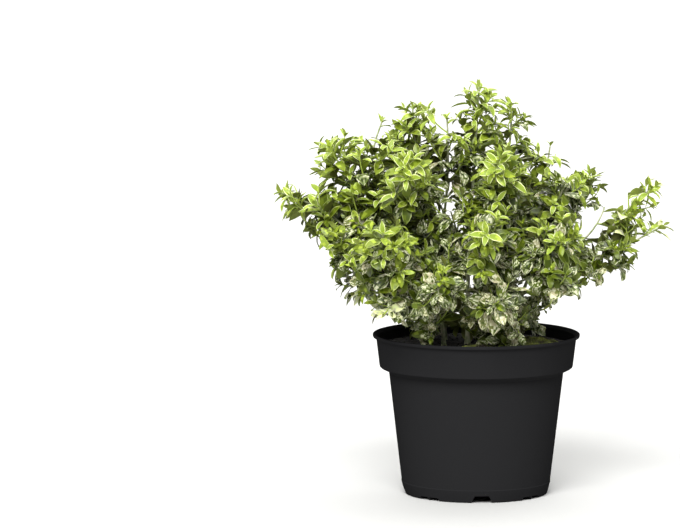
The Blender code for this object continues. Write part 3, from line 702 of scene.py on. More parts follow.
# Patches along and across a blade, its width for a length of 1, how far up its petiole ends and
# it is widest, how steeply its halves fold up, and its colours, the underside's last
LeafKind = namedtuple("LeafKind", "rows columns ratio petiole widest fold colours")
LEAF_KINDS = {
    "young": LeafKind(6, 4, 0.37, 0.06, 0.44, 0.32,
                      ("young_edge", "young_blade", "young_heart", "young_under")),
    "fresh": LeafKind(6, 4, 0.41, 0.09, 0.45, 0.26,
                      ("fresh_edge", "fresh_blade", "fresh_heart", "young_blade", "fresh_under")),
    # Plain dark green leaves for deep in and low in the crown, partly painted shade
    "deep": LeafKind(5, 4, 0.43, 0.09, 0.46, 0.22,
                     ("deep_edge", "deep_blade", "deep_heart", "fresh_blade", "deep_under")),
    "old": LeafKind(10, 8, 0.46, 0.10, 0.46, 0.20,
                    ("old_blade", "old_dark", "old_grey", "old_streak", "old_under")),
    "cream": LeafKind(10, 8, 0.48, 0.10, 0.46, 0.22,
                      ("cream_blade", "cream_fleck", "cream_blush", "old_blade", "old_under")),
    "white": LeafKind(6, 4, 0.37, 0.06, 0.44, 0.32,
                      ("white_blade", "cream_blade", "young_edge", "young_under")),
}
LEAF_THICKNESS = 0.0003
USUAL_LEAF = 0.02
TEMPLATES_PER_KIND = 28

# Half widths, as shares of the greatest, of the petiole and of the very tip
STALK_SHARE = 0.07
TIP_SHARE = 0.02

# The slots of a green or white leaf, then of an old marbled one, then of a cream one
EDGE, BLADE, HEART, NEXT_AGE = range(4)
BASE, DARK, GREY, STREAK = range(4)
CREAM, FLECK, BLUSH, GREEN = range(4)

# By a blade's columns: how far the patches sweep forward to its edge, and how narrow they get
# there. Four columns leave a fine pale margin, eight give marbling.
SWEEP = {4: 0.10, 8: 0.55}
EDGE_POWER = {4: 0.30, 8: 0.75}

# From and to, for what differs between the leaves of a kind
DROOP = (0.1, 1.0)
STRONG_DROOP = (1.2, 2.1)
STRONG_DROOP_SHARE = 0.14
DROOP_POWER = 1.3
FIRST_RISE = 0.14
WOBBLE = (-0.02, 0.02)
RATIO_SPREAD = (0.88, 1.12)
FOLD_SPREAD = (0.5, 1.4)
TWIST = (-0.35, 0.35)
RIPPLE = (0.0, 0.07)
RIPPLE_RADIANS = 15.0


def blade_outline(share, kind):
    """Half width of a leaf, as a share of its greatest, this share of the way up it."""
    up = (share - kind.petiole) / (1.0 - kind.petiole)
    if up <= 0.0:
        return STALK_SHARE
    rise = kind.widest / (1.0 - kind.widest)
    peak = kind.widest ** rise * (1.0 - kind.widest)
    return max(STALK_SHARE * (1.0 - up), up ** rise * max(1.0 - up, 0.0) / peak, TIP_SHARE)


# Where a blade's margin starts and its heart ends, from 0 at the rib to 1 at the edge
MARGIN_START = 0.9
HEART_END = 0.1

# For each kind of leaf: past which noise a patch takes a colour, or in what share of the leaves or
# patches. A mood is a number from 0 to 1 of each leaf's own.
YOUNG_MARGIN_SHARE, YOUNG_RIB_SHARE, YOUNG_HEART_NOISE = 0.7, 0.75, 0.28
GREEN_MARGIN_NOISE, GREEN_HEART_NOISE, NEXT_AGE_NOISE = 0.5, 0.12, -0.34
STREAK_NOISE, STREAK_SHARE, STREAK_MOOD = 0.16, 0.45, 0.3
WHITE_EDGE_SHARE, WHITE_EDGE_MOOD = 0.12, 0.2
GREY_NOISE, DARK_NOISE = 0.04, -0.10
FLECK_NOISE, FLECK_SHARE, STRAY_FLECK_SHARE, BLUSH_NOISE = 0.10, 0.7, 0.16, -0.10


def plain_patch(name, out, roll, wave, mood):
    """The slot of a patch of a leaf with a pale edge, a lighter blade and a darker heart."""
    at_edge = out > MARGIN_START
    if name in ("young", "white"):
        if at_edge and mood < YOUNG_MARGIN_SHARE:
            return EDGE
        at_rib = out < HEART_END and roll < YOUNG_RIB_SHARE
        return HEART if at_rib or wave > YOUNG_HEART_NOISE else BLADE
    if at_edge and wave < GREEN_MARGIN_NOISE - mood:
        return EDGE
    if wave > GREEN_HEART_NOISE:
        return HEART
    return NEXT_AGE if wave < NEXT_AGE_NOISE else BLADE


def marbled_patch(out, roll, wave, streak, mood):
    """The slot of a patch of an old leaf: dark green, streaked along its veins with grey and white."""
    if streak > STREAK_NOISE:
        return STREAK if roll < STREAK_SHARE + mood * STREAK_MOOD else GREY
    if out > MARGIN_START and roll < WHITE_EDGE_SHARE + mood * WHITE_EDGE_MOOD:
        return STREAK
    if streak > GREY_NOISE:
        return GREY
    return DARK if wave < DARK_NOISE else BASE


def cream_patch(roll, wave, streak):
    """The slot of a patch of a cream leaf, flecked with green and blushed."""
    if streak > FLECK_NOISE:
        return FLECK if roll < FLECK_SHARE else GREEN
    if wave < BLUSH_NOISE:
        return BLUSH
    return FLECK if roll < STRAY_FLECK_SHARE else CREAM


def leaf_colour(rng, name, row, column, kind, mood):
    """The slot of one patch of a leaf's upper side, by where it lies on the blade."""
    half = kind.columns / 2
    side = 0 if column < half else 1
    out = (abs(column + 0.5 - half) - 0.5) / (half - 1)
    roll = rng.random()
    # Noise that changes slowly up the blade, and differs between its halves and between leaves
    wave = noise.noise((row * 0.55 + mood * 7.0, out * 1.3 + side * 9.0, mood))
    if name in ("young", "white", "fresh", "deep"):
        return plain_patch(name, out, roll, wave, mood)
    # Noise that changes with nearly every patch across the blade, so it runs along the veins
    streak = noise.noise((row * 0.5 + mood * 5.0, column * 1.9, mood * 3.0))
    if name == "old":
        return marbled_patch(out, roll, wave, streak, mood)
    return cream_patch(roll, wave, streak)


def blade_corners(rng, kind):
    """The corners of a leaf's upper side, row by row from its root, and its colours' mood."""
    droop = rng.uniform(*(STRONG_DROOP if rng.random() < STRONG_DROOP_SHARE else DROOP))
    ratio = kind.ratio * rng.uniform(*RATIO_SPREAD)
    fold = kind.fold * rng.uniform(*FOLD_SPREAD)
    twist = rng.uniform(*TWIST)
    ripple, phase = rng.uniform(*RIPPLE), rng.uniform(0.0, math.tau)
    mood = rng.uniform(0.0, 1.0)
    across = np.linspace(-1.0, 1.0, kind.columns + 1)
    across = np.sign(across) * np.abs(across) ** EDGE_POWER[kind.columns]
    corners, x, z, before = [], 0.0, 0.0, 0.0
    for row in range(kind.rows + 1):
        share = row / kind.rows
        lean = rng.uniform(*WOBBLE) + FIRST_RISE - droop * share ** DROOP_POWER
        x += (share - before) * math.cos(lean)
        z += (share - before) * math.sin(lean)
        before = share
        half = 0.5 * ratio * blade_outline(share, kind)
        turn = twist * share
        for u in across:
            forward = SWEEP[kind.columns] * abs(u) * half * 2 * (1.0 - share)
            flat, rise = u * half, fold * abs(u) * half
            rise += ripple * half * abs(u) * math.sin(phase + share * RIPPLE_RADIANS + u)
            corners.append((
                x + forward * math.cos(lean) - rise * math.sin(lean),
                flat * math.cos(turn) - rise * math.sin(turn),
                z + forward * math.sin(lean) + rise * math.cos(lean) + flat * math.sin(turn),
            ))
    return np.array(corners), mood


def leaf_template(rng, name):
    """A leaf of unit length along X that faces +Z: corners, quads and slots, closed and thin."""
    kind = LEAF_KINDS[name]
    rows, columns = kind.rows, kind.columns
    upper, mood = blade_corners(rng, kind)
    width, middle = columns + 1, columns // 2
    ribs = [r * width + middle for r in range(rows + 1)]
    lower = upper[ribs[1:-1]] - (0.0, 0.0, LEAF_THICKNESS / USUAL_LEAF)
    under_ribs = [ribs[0], *range(len(upper), len(upper) + rows - 1), ribs[-1]]
    quads, slots = [], []
    for r in range(rows):
        left, right = r * width, r * width + columns
        for c in range(columns):
            a, b = left + c, left + c + 1
            quads.append((a, a + width, b + width, b))
            slots.append(leaf_colour(rng, name, r, c, kind, mood))
        rib, next_rib = under_ribs[r], under_ribs[r + 1]
        quads.append((left, rib, next_rib, left + width))
        quads.append((rib, right, right + width, next_rib))
        slots += [len(kind.colours) - 1] * 2
    return np.concatenate([upper, lower]), np.array(quads), np.array(slots)


NEARLY_UPRIGHT = 0.05


def side_way(heading, turn):
    """A direction square to the heading, turned round it by this angle from the level."""
    level = heading.cross(UP)
    if level.length < NEARLY_UPRIGHT:
        level = Vector((1.0, 0.0, 0.0))
    level.normalize()
    return Matrix.Rotation(turn, 3, heading) @ level


Leaf = namedtuple("Leaf", "kind root way face length")
Shoot = namedtuple("Shoot", "points foot_radius tip_radius order")

# Where a leaf is tested, as shares of its length: along its middle, and at its two widest places
SPOT_SHARES = (0.35, 0.78, 0.98)
WIDE_SHARE = 0.55
WIDE_REACH = 0.45

# How leaves stand: how far their angle strays, how they lift or hang, and how much their upper
# sides turn to the light above and out of the crown
ANGLE_SPREAD = (-0.18, 0.18)
LIFT = (-0.12, 0.14)
LIGHT_ABOVE = 0.45
LIGHT_OUTSIDE = 0.2
LEAST_FACE = 0.1


def leaf_spots(root, way, face, length, ratio):
    """Places over a leaf's blade, enough to tell what it touches."""
    across = way.cross(face) * (length * ratio * WIDE_REACH)
    middle = root + way * (length * WIDE_SHARE)
    low, high, tip = (root + way * (length * share) for share in SPOT_SHARES)
    return np.array([p[:] for p in (low, middle + across, middle - across, high, tip)])


def leaf_pose(rng, root, heading, turn, angle):
    """The way a leaf points, and the way its upper side faces: up and out of the crown."""
    lean = angle + rng.uniform(*ANGLE_SPREAD)
    way = heading * math.cos(lean) + side_way(heading, turn) * math.sin(lean)
    way = (way + UP * rng.uniform(*LIFT)).normalized()
    light = heading + UP * LIGHT_ABOVE + (root - CROWN_HEART).normalized() * LIGHT_OUTSIDE
    face = light - way * way.dot(light)
    if face.length < LEAST_FACE:
        face = side_way(way, 0.0)
    return way, face.normalized()


# Where the old leaves show in the photograph: low down, most of all in the middle of the front, where
# they are cream, and in the crown's heart. The darker leaves low down and in the heart are also painted
# shade. X, seen height and the width of each place.
LOW_TOP = 0.208
LOW_DEPTH = 0.030
MIDDLE_X, MIDDLE_WIDTH = 0.006, 0.060
FRONT_HALF = 0.02
BACK_MIDDLE = 0.4
HEART_X, HEART_WIDTH = 0.012, 0.075
HEART_SEEN, HEART_DEPTH = 0.225, 0.050
CREAM_SHARE_OLD, CREAM_SHARE_YOUNG, CREAM_AGE = 0.60, 0.30, 0.25

# What makes a leaf darker than its age alone: lying inside the crown's skin, below its middle height,
# low down, low in the middle, or in its heart. Older leaves do stand there, and the darker leaves there
# are painted shade as well. Then up to which age and shade a leaf is of a kind.
SKIN, SKIN_GAIN = 0.87, 1.4
MIDDLE_HEIGHT, HEIGHT_GAIN = 0.25, 2.3
LOW_GAIN, LOW_MIDDLE_GAIN, HEART_GAIN = 0.30, 0.34, 0.30
AGE_AND_SHADE_SPREAD = (-0.10, 0.10)
AGE_AND_SHADE_LIMITS = {"young": 0.40, "fresh": 0.74, "deep": 0.89}
OLDEST_CREAM_SHARE = 0.10
OLDEST_MARBLED_SHARE = 0.7


def bell(*offsets):
    """1 where all offsets are zero, falling off as they near 1."""
    return math.exp(-sum(offset ** 2 for offset in offsets))


def leaf_kind(rng, root, age, tone):
    """Which kind of leaf grows here: by its age, its shoot, its depth in the crown and its height, the
    darker kinds deep in and low down partly as painted shade.
    """
    half_x, half_y, half_z = CROWN_HALF
    out = Vector((root.x / half_x, root.y / half_y, (root.z - HEART_HEIGHT) / half_z)).length
    seen = root.z + root.y * SIGHT_SLOPE
    low = min(max((LOW_TOP - seen) / LOW_DEPTH, 0.0), 1.0)
    middle = bell((root.x - MIDDLE_X) / MIDDLE_WIDTH) * (1.0 if root.y < FRONT_HALF else BACK_MIDDLE)
    if rng.random() < low * middle * (CREAM_SHARE_OLD if age > CREAM_AGE else CREAM_SHARE_YOUNG):
        return "cream"
    heart = bell((root.x - HEART_X) / HEART_WIDTH, (seen - HEART_SEEN) / HEART_DEPTH)
    # Deeper in, lower down and in the heart a leaf comes out darker: partly its age, partly painted
    # shade.
    age_and_shade = age + tone + (SKIN - out) * SKIN_GAIN + (MIDDLE_HEIGHT - seen) * HEIGHT_GAIN
    age_and_shade += rng.uniform(*AGE_AND_SHADE_SPREAD)
    age_and_shade += low * LOW_GAIN + low * middle * LOW_MIDDLE_GAIN + heart * HEART_GAIN
    for name, limit in AGE_AND_SHADE_LIMITS.items():
        if age_and_shade < limit:
            return name
    if rng.random() < OLDEST_CREAM_SHARE:
        return "cream"
    return "old" if rng.random() < OLDEST_MARBLED_SHARE else "deep"


# How ripe a shoot's leaves are beyond their age: a few shoots lack green altogether, some are green
# throughout and the rest run from green to marbled. Low shoots get darker leaves still, as painted
# shade for the dark under the masses.
WHITE_TONE = -1.0
WHITE_SHARE = 0.02
GREEN_SHARE = 0.42
GREEN_TONES = (-0.05, 0.12)
RIPE_TONES = (0.16, 0.50)
LOW_SHOOT_SHADE = 0.35


def shoot_tone(rng, extra):
    """The tone of a shoot, on top of what its place adds."""
    roll = rng.random()
    if roll < WHITE_SHARE:
        return WHITE_TONE
    return extra + rng.uniform(*(GREEN_TONES if roll < GREEN_SHARE else RIPE_TONES))


class Crown:
    """Grows shoots and leaves from the limbs."""

    STEM_POINTS, BOUGH_POINTS = 8, 6

    # The leading shoot: its points, the room that it leaves its last leaves, between which shares
    # of its length side shoots stand, and how far apart
    LEADER_POINTS = 12
    TIP_ROOM = 0.0065
    FIRST_SHARE, LAST_SHARE = 0.16, 0.90
    SPACING = (0.014, 0.021)
    TURN_SPREAD = (-0.3, 0.3)

    # A side shoot's reach as a share of its mass's width, shorter towards the mass's tip, and the
    # length of its last leaves, which reach further
    FOOT_REACH, REACH_TAPER = 1.24, 0.48
    REACH_SPREAD = (0.70, 1.05)
    LAST_LEAVES = 0.006
    SHOOT_ANGLE = (44.0, 62.0)
    SHOOT_LIFT = 0.30
    SHOOT_POINTS = 5
    SHORTER = (1.0, 0.8, 0.6)
    SHORTEST_SHOOT = 0.007

    # Finer shoots on it
    SHORTEST_CARRIER = 0.020
    NO_FINER_SHARE = 0.35
    FINER_REACH = (0.45, 0.70)
    FINER_PLACE = (0.35, 0.6)

    # Radii by a shoot's order: leading, side and finer
    RADIUS_SHARES = (1.5, 1.0, 0.8)
    TIP_RADIUS_SHARE = 0.62

    # A rosette's pairs: how far back from the tip, their share of a young leaf's length and how
    # far they spread
    ROSETTE = ((0.0, 0.52, 0.42), (0.0016, 0.82, 0.85), (0.0056, 1.0, 1.10))
    ROSETTE_AGE = 0.1
    ROSETTE_GAP = 0.0013
    VIGOUR = (0.8, 1.12)

    # The pairs below it: where the first stands, their spread, how they age down the shoot and
    # how near leaves may come
    FIRST_PAIR = 0.009
    LAST_PAIR_SHARE = 0.97
    PAIR_ANGLE = 1.12
    PAIR_AGE = 0.20
    AGEING_LENGTH = 0.052
    AGE_SPREAD = (-0.1, 0.1)
    PAIR_GAP = 0.0026
    STEP_SPREAD = (0.8, 1.25)

    LEAF_TRIES = 4
    LESS_PER_TRY = 0.10
    SIZE_SPREAD = (0.9, 1.08)

    def __init__(self, sizes):
        self.sizes = sizes
        self.limbs = all_limbs(self.STEM_POINTS, self.BOUGH_POINTS)
        self.axes = {
            name: branch_line(self.limbs[mass.carrier], mass.share, mass.tip, AXIS_POINTS)
            for name, mass in LEAFY.items()
        }
        self.room = Room(self.limbs, self.axes)
        self.shoots, self.leaves = [], []
        for name in LEAFY:
            self.grow_mass(name)

    def grow_mass(self, name):
        """A leading shoot, its side shoots in opposite pairs, and finer shoots on those."""
        rng = random.Random(f"{self.sizes.seed} {name}")
        width = LEAFY[name].width
        axis = self.axes[name]
        length = line_length(axis)
        cut = 1.0 - self.TIP_ROOM / length
        last = self.LEADER_POINTS - 1
        leader = [along(axis, cut * i / last)[0] for i in range(self.LEADER_POINTS)]
        lines = [(leader, 0)]
        turn = rng.uniform(0.0, math.pi)
        share = self.FIRST_SHARE
        while share < self.LAST_SHARE:
            for half in (0.0, math.pi):
                reach = width * (self.FOOT_REACH - self.REACH_TAPER * share)
                reach = reach * rng.uniform(*self.REACH_SPREAD) - self.LAST_LEAVES
                line = self.side_line(rng, name, leader, share, turn + half, reach)
                if line:
                    lines.append((line, 1))
                    self.grow_finer(rng, name, line, lines)
            turn += math.pi / 2 + rng.uniform(*self.TURN_SPREAD)
            share += rng.uniform(*self.SPACING) / length
        for line, order in lines:
            radius = self.sizes.twig_radius * self.RADIUS_SHARES[order]
            self.shoots.append(Shoot(line, radius, radius * self.TIP_RADIUS_SHARE, order))
        # Low shoots' leaves come out darker: painted shade for the dark under the masses.
        extra = LOW_SHOOT_SHADE if name in LOW_SHOOTS else 0.0
        tones = [shoot_tone(rng, extra) for _ in lines]
        for (line, order), tone in sorted(zip(lines, tones), key=lambda pair: -pair[0][1]):
            self.add_rosette(rng, name, line, tone)
        for (line, order), tone in zip(lines, tones):
            self.add_pairs(rng, name, line, tone)

    def side_line(self, rng, name, line, share, turn, reach):
        """A side shoot that curves up towards the light, or None where it has no room."""
        place, heading = along(line, share)
        for shrink in self.SHORTER:
            angle = math.radians(rng.uniform(*self.SHOOT_ANGLE))
            way = heading * math.cos(angle) + side_way(heading, turn) * math.sin(angle)
            length = reach * shrink
            if length < self.SHORTEST_SHOOT:
                return None
            tip = place + (way + UP * self.SHOOT_LIFT).normalized() * length
            points = bent(place, place + way * length * BRANCH_PULL, tip, self.SHOOT_POINTS)
            spots = np.array([p[:] for p in points[2:]])
            if self.room.keeps(spots, name):
                return points
        return None

    def grow_finer(self, rng, name, line, lines):
        """Short shoots on a side shoot, in an opposite pair."""
        length = (line[-1] - line[0]).length
        if length < self.SHORTEST_CARRIER or rng.random() < self.NO_FINER_SHARE:
            return
        turn = rng.uniform(0.0, math.pi)
        for half in (0.0, math.pi):
            reach = length * rng.uniform(*self.FINER_REACH)
            place = rng.uniform(*self.FINER_PLACE)
            finer = self.side_line(rng, name, line, place, turn + half, reach)
            if finer:
                lines.append((finer, 2))

    def place_leaf(self, rng, name, root, heading, turn, angle, length, age, tone, apart):
        """Adds a leaf here if there is room for it, a little smaller on each further try."""
        kind = leaf_kind(rng, root, age, tone)
        if tone == WHITE_TONE:
            kind = "white"
        ratio = LEAF_KINDS[kind].ratio
        for attempt in range(self.LEAF_TRIES):
            size = length * (1.0 - self.LESS_PER_TRY * attempt) * rng.uniform(*self.SIZE_SPREAD)
            stray = rng.uniform(*self.TURN_SPREAD)
            way, face = leaf_pose(rng, root, heading, turn + stray, angle)
            spots = leaf_spots(root, way, face, size, ratio)
            if self.room.keeps(spots, name) and not self.room.crowded(spots[1:], apart):
                self.room.take(spots[1:])
                self.leaves.append(Leaf(kind, root, way, face, size))
                return

    def add_rosette(self, rng, name, line, tone):
        """The star of young leaves at a shoot's tip: pairs, each a quarter turn from the last."""
        tip, heading = along(line, 1.0)
        turn = rng.uniform(0.0, math.pi)
        young = self.sizes.young_leaf
        vigour = rng.uniform(*self.VIGOUR)
        for back, share, angle in self.ROSETTE:
            for half in (0.0, math.pi):
                self.place_leaf(rng, name, tip - heading * back, heading, turn + half, angle,
                                young * share * vigour, self.ROSETTE_AGE, tone, self.ROSETTE_GAP)
            turn += math.pi / 2

    def add_pairs(self, rng, name, line, tone):
        """Opposite pairs down a shoot, each a quarter turn from the last and older."""
        length = line_length(line)
        back = self.FIRST_PAIR
        turn = rng.uniform(0.0, math.pi)
        young, old = self.sizes.young_leaf, self.sizes.old_leaf
        while back < length * self.LAST_PAIR_SHARE:
            root, heading = along(line, 1.0 - back / length)
            age = self.PAIR_AGE + back / self.AGEING_LENGTH + rng.uniform(*self.AGE_SPREAD)
            age = min(1.0, age)
            for half in (0.0, math.pi):
                self.place_leaf(rng, name, root, heading, turn + half, self.PAIR_ANGLE,
                                young + (old - young) * age, age, tone, self.PAIR_GAP)
            turn += math.pi / 2
            back += self.sizes.internode * rng.uniform(*self.STEP_SPREAD)


def leaf_arrays(rng, leaves, name):
    """Corners, quads and slots of all leaves of one kind."""
    templates = [leaf_template(rng, name) for _ in range(TEMPLATES_PER_KIND)]
    parts = []
    for leaf in leaves:
        corners, quads, slots = rng.choice(templates)
        side = leaf.face.cross(leaf.way)
        turned = corners @ np.array([leaf.way[:], side[:], leaf.face[:]]) * leaf.length
        parts.append((turned + np.array(leaf.root[:]), quads, slots))
    return joined(parts)


# Operators


class MakePot(bpy.types.Operator):
    """Makes the moulded pot with its lip, band, drains and foot"""

    bl_idname = "wintercreeper.make_pot"
    bl_label = "Pot"

    STEPS = 144
    SHARP_ANGLE = 32.0

    # Drains through the foot, and a shallow nick each side of every drain
    DRAIN_COUNT = 4
    DRAIN_TURN = math.radians(-86.7)
    NICK_ANGLES = (-40.0, 40.0)
    DRAIN_WIDTHS, DRAIN_HEIGHT, DRAIN_START = (0.026, 0.013), 0.0065, 0.055
    NICK_WIDTHS, NICK_HEIGHT, NICK_START = (0.010, 0.010), 0.0028, 0.032
    CUT_END = 0.0783

    def profile(self, sizes):
        """Radius and height from the inner floor up over the lip and down to the underside."""
        rim, top, wall, foot = sizes.rim_radius, sizes.height, sizes.wall, sizes.foot_radius
        band_rim = top - 0.0028
        floor = 0.0040 + wall
        inner_floor = [(0.0, wall), (0.0215, wall), (0.0245, floor), (0.0638, floor)]
        inner_wall = [(0.0656, 0.0066), (0.0668, 0.0107), (0.0786, 0.1135), (0.0800, 0.1150)]
        inner_band = [(0.0860, 0.1176), (0.0904, band_rim)]
        lip = [
            (rim - 0.0022, top - 0.0004), (rim - 0.0016, top), (rim - 0.0006, top),
            (rim - 0.0001, top - 0.0004), (rim, top - 0.0010), (rim - 0.0001, top - 0.0022),
            (rim - 0.0004, band_rim),
        ]
        band = [
            (0.0921, band_rim - 0.0004), (0.0918, band_rim - 0.0010), (0.0888, 0.1182),
            (0.0884, 0.1168), (0.0874, 0.1160),
        ]
        outer_wall = [
            (0.0810, 0.1130), (0.0801, 0.1120), (0.0683, 0.0118), (0.0686, 0.0112), (0.0684, 0.0104),
        ]
        foot_ring = [
            (foot + 0.0012, 0.0018), (foot + 0.0006, 0.0004), (foot, 0.0), (foot - 0.007, 0.0),
            (foot - 0.008, 0.0040),
        ]
        underside = [(0.0250, 0.0040), (0.0220, 0.0), (0.0, 0.0)]
        return (inner_floor + inner_wall + inner_band + lip + band + outer_wall + foot_ring
                + underside)

    def add_cutter(self, group, turn, widths, height, start):
        """A radial block, of one width below and another above, that cuts through the foot."""
        bottom, top = widths
        bm = bmesh.new()
        bmesh.ops.create_cube(bm, size=1.0)
        for vert in bm.verts:
            vert.co.y *= top if vert.co.z > 0 else bottom
            vert.co.x = start if vert.co.x < 0 else self.CUT_END
            vert.co.z = height if vert.co.z > 0 else -height
        bmesh.ops.rotate(bm, verts=bm.verts, matrix=Matrix.Rotation(turn, 3, "Z"))
        group.objects.link(bpy.data.objects.new("drain_cutter", mesh_of(bm, "drain_cutter")))

    def execute(self, context):
        sizes = context.scene.wintercreeper_pot
        profile = self.profile(sizes)
        mesh = bpy.data.meshes.new("pot_shell")
        mesh.from_pydata([(r, 0.0, z) for r, z in profile],
                         [(i, i + 1) for i in range(len(profile) - 1)], [])
        colour = context.scene.wintercreeper_colours.pot
        pot = add_object("pot_shell", mesh, moulded_polypropylene(colour))
        turn = pot.modifiers.new("turn", "SCREW")
        turn.steps = turn.render_steps = self.STEPS
        turn.use_merge_vertices = True
        turn.merge_threshold = 0.00001
        group = bpy.data.collections.new("cutters")
        context.scene.collection.children.link(group)
        for index in range(self.DRAIN_COUNT):
            angle = self.DRAIN_TURN + index * math.tau / self.DRAIN_COUNT
            self.add_cutter(group, angle, self.DRAIN_WIDTHS, self.DRAIN_HEIGHT, self.DRAIN_START)
            for nick in self.NICK_ANGLES:
                self.add_cutter(group, angle + math.radians(nick), self.NICK_WIDTHS,
                                self.NICK_HEIGHT, self.NICK_START)
        cut = pot.modifiers.new("drains", "BOOLEAN")
        cut.operation = "DIFFERENCE"
        cut.solver = "EXACT"
        cut.operand_type = "COLLECTION"
        cut.collection = group
        graph = context.evaluated_depsgraph_get()
        shaped = bpy.data.meshes.new_from_object(pot.evaluated_get(graph))
        pot.modifiers.clear()
        pot.data = shaped
        for helper in list(group.objects):
            bpy.data.objects.remove(helper)
        bpy.data.collections.remove(group)
        smooth(shaped, self.SHARP_ANGLE)
        claim(pot, "pot_plastic", "pot")
        return {"FINISHED"}


class MakeCompost(bpy.types.Operator):
    """Makes the compost with an uneven, crumbly top"""

    bl_idname = "wintercreeper.make_compost"
    bl_label = "Compost"

    # The top's rings of faces, out to where it meets the wall, and its sides' rings down the wall
    RINGS = 56
    STEPS = 180
    TOP_RADIUS = 0.0887
    TOP_RISE = 0.0004
    LOWER_RINGS = ((0.0858, 0.1180), (0.0782, 0.1142), (0.0662, 0.0109), (0.0632, 0.0059))

    # Height, waves per metre and shift of its lumps and of its grains, and how it sinks at the wall
    RELIEF = ((0.0011, 90, 3.0), (0.0009, 260, 7.0))
    EDGE_SHARE, EDGE_WIDTH = 0.9, 0.1
    EDGE_DROP = 0.0008

    CRUMBS = 900
    CRUMB_REACH = 0.0862
    CRUMB_HEIGHT = 0.0006
    CRUMB_SIZES = (0.25, 1.0)
    CRUMB_SIZE_POWER = 1.5
    CRUMB_LENGTHS = (1.0, 2.4)
    CRUMB_HALF_WIDTH, CRUMB_HALF_HEIGHT = 0.5, 0.4
    CRUMB_ROUGHNESS = (-0.14, 0.14)

    def execute(self, context):
        corners = [(0.0, 0.0, COMPOST_TOP + self.TOP_RISE)]
        turns = [math.tau * step / self.STEPS for step in range(self.STEPS)]
        for ring in range(1, self.RINGS + 1):
            r = self.TOP_RADIUS * ring / self.RINGS
            edge = max(0.0, (r / self.TOP_RADIUS - self.EDGE_SHARE) / self.EDGE_WIDTH)
            for a in turns:
                x, y = r * math.cos(a), r * math.sin(a)
                rough = sum(height * noise.noise((x * waves, y * waves, shift))
                            for height, waves, shift in self.RELIEF)
                z = COMPOST_TOP + self.TOP_RISE + rough * (1 - edge) - self.EDGE_DROP * edge
                corners.append((x, y, z))
        for r, z in self.LOWER_RINGS:
            corners += [(r * math.cos(a), r * math.sin(a), z) for a in turns]
        rings = self.RINGS + len(self.LOWER_RINGS)
        faces = between_rings(rings, self.STEPS)
        last = 1 + (rings - 1) * self.STEPS
        faces.append(tuple(last + step for step in reversed(range(self.STEPS))))
        mesh = bpy.data.meshes.new("compost_bed")
        mesh.from_pydata(corners, [], faces)
        smooth(mesh, 50.0)
        peat = damp_peat(context.scene.wintercreeper_colours.compost)
        bed = add_object("compost_bed", mesh, peat)
        claim(bed, "compost", "compost")
        self.add_crumbs(context, peat)
        return {"FINISHED"}

    def add_crumbs(self, context, peat):
        """Loose crumbs and bits of fibre that lie on the compost."""
        rng = random.Random("compost")
        largest = context.scene.wintercreeper_pot.crumb_size
        bm = bmesh.new()
        for _ in range(self.CRUMBS):
            r, a = self.CRUMB_REACH * math.sqrt(rng.random()), rng.uniform(0.0, math.tau)
            size = largest * rng.uniform(*self.CRUMB_SIZES) ** self.CRUMB_SIZE_POWER
            long = rng.uniform(*self.CRUMB_LENGTHS)
            place = Vector((r * math.cos(a), r * math.sin(a), COMPOST_TOP + self.CRUMB_HEIGHT))
            turn = Matrix.Rotation(rng.uniform(0, math.tau), 4, "Z")
            scale = Matrix.Diagonal((size * long * self.CRUMB_HALF_WIDTH,
                                     size * self.CRUMB_HALF_WIDTH,
                                     size * self.CRUMB_HALF_HEIGHT, 1.0))
            made = bmesh.ops.create_icosphere(
                bm, subdivisions=1, radius=1.0, matrix=Matrix.Translation(place) @ turn @ scale)
            for vert in made["verts"]:
                vert.co += Vector([rng.uniform(*self.CRUMB_ROUGHNESS) * size for _ in range(3)])
        mesh = mesh_of(bm, "compost_crumbs")
        smooth(mesh, 20.0)
        claim(add_object("compost_crumbs", mesh, peat), "compost")


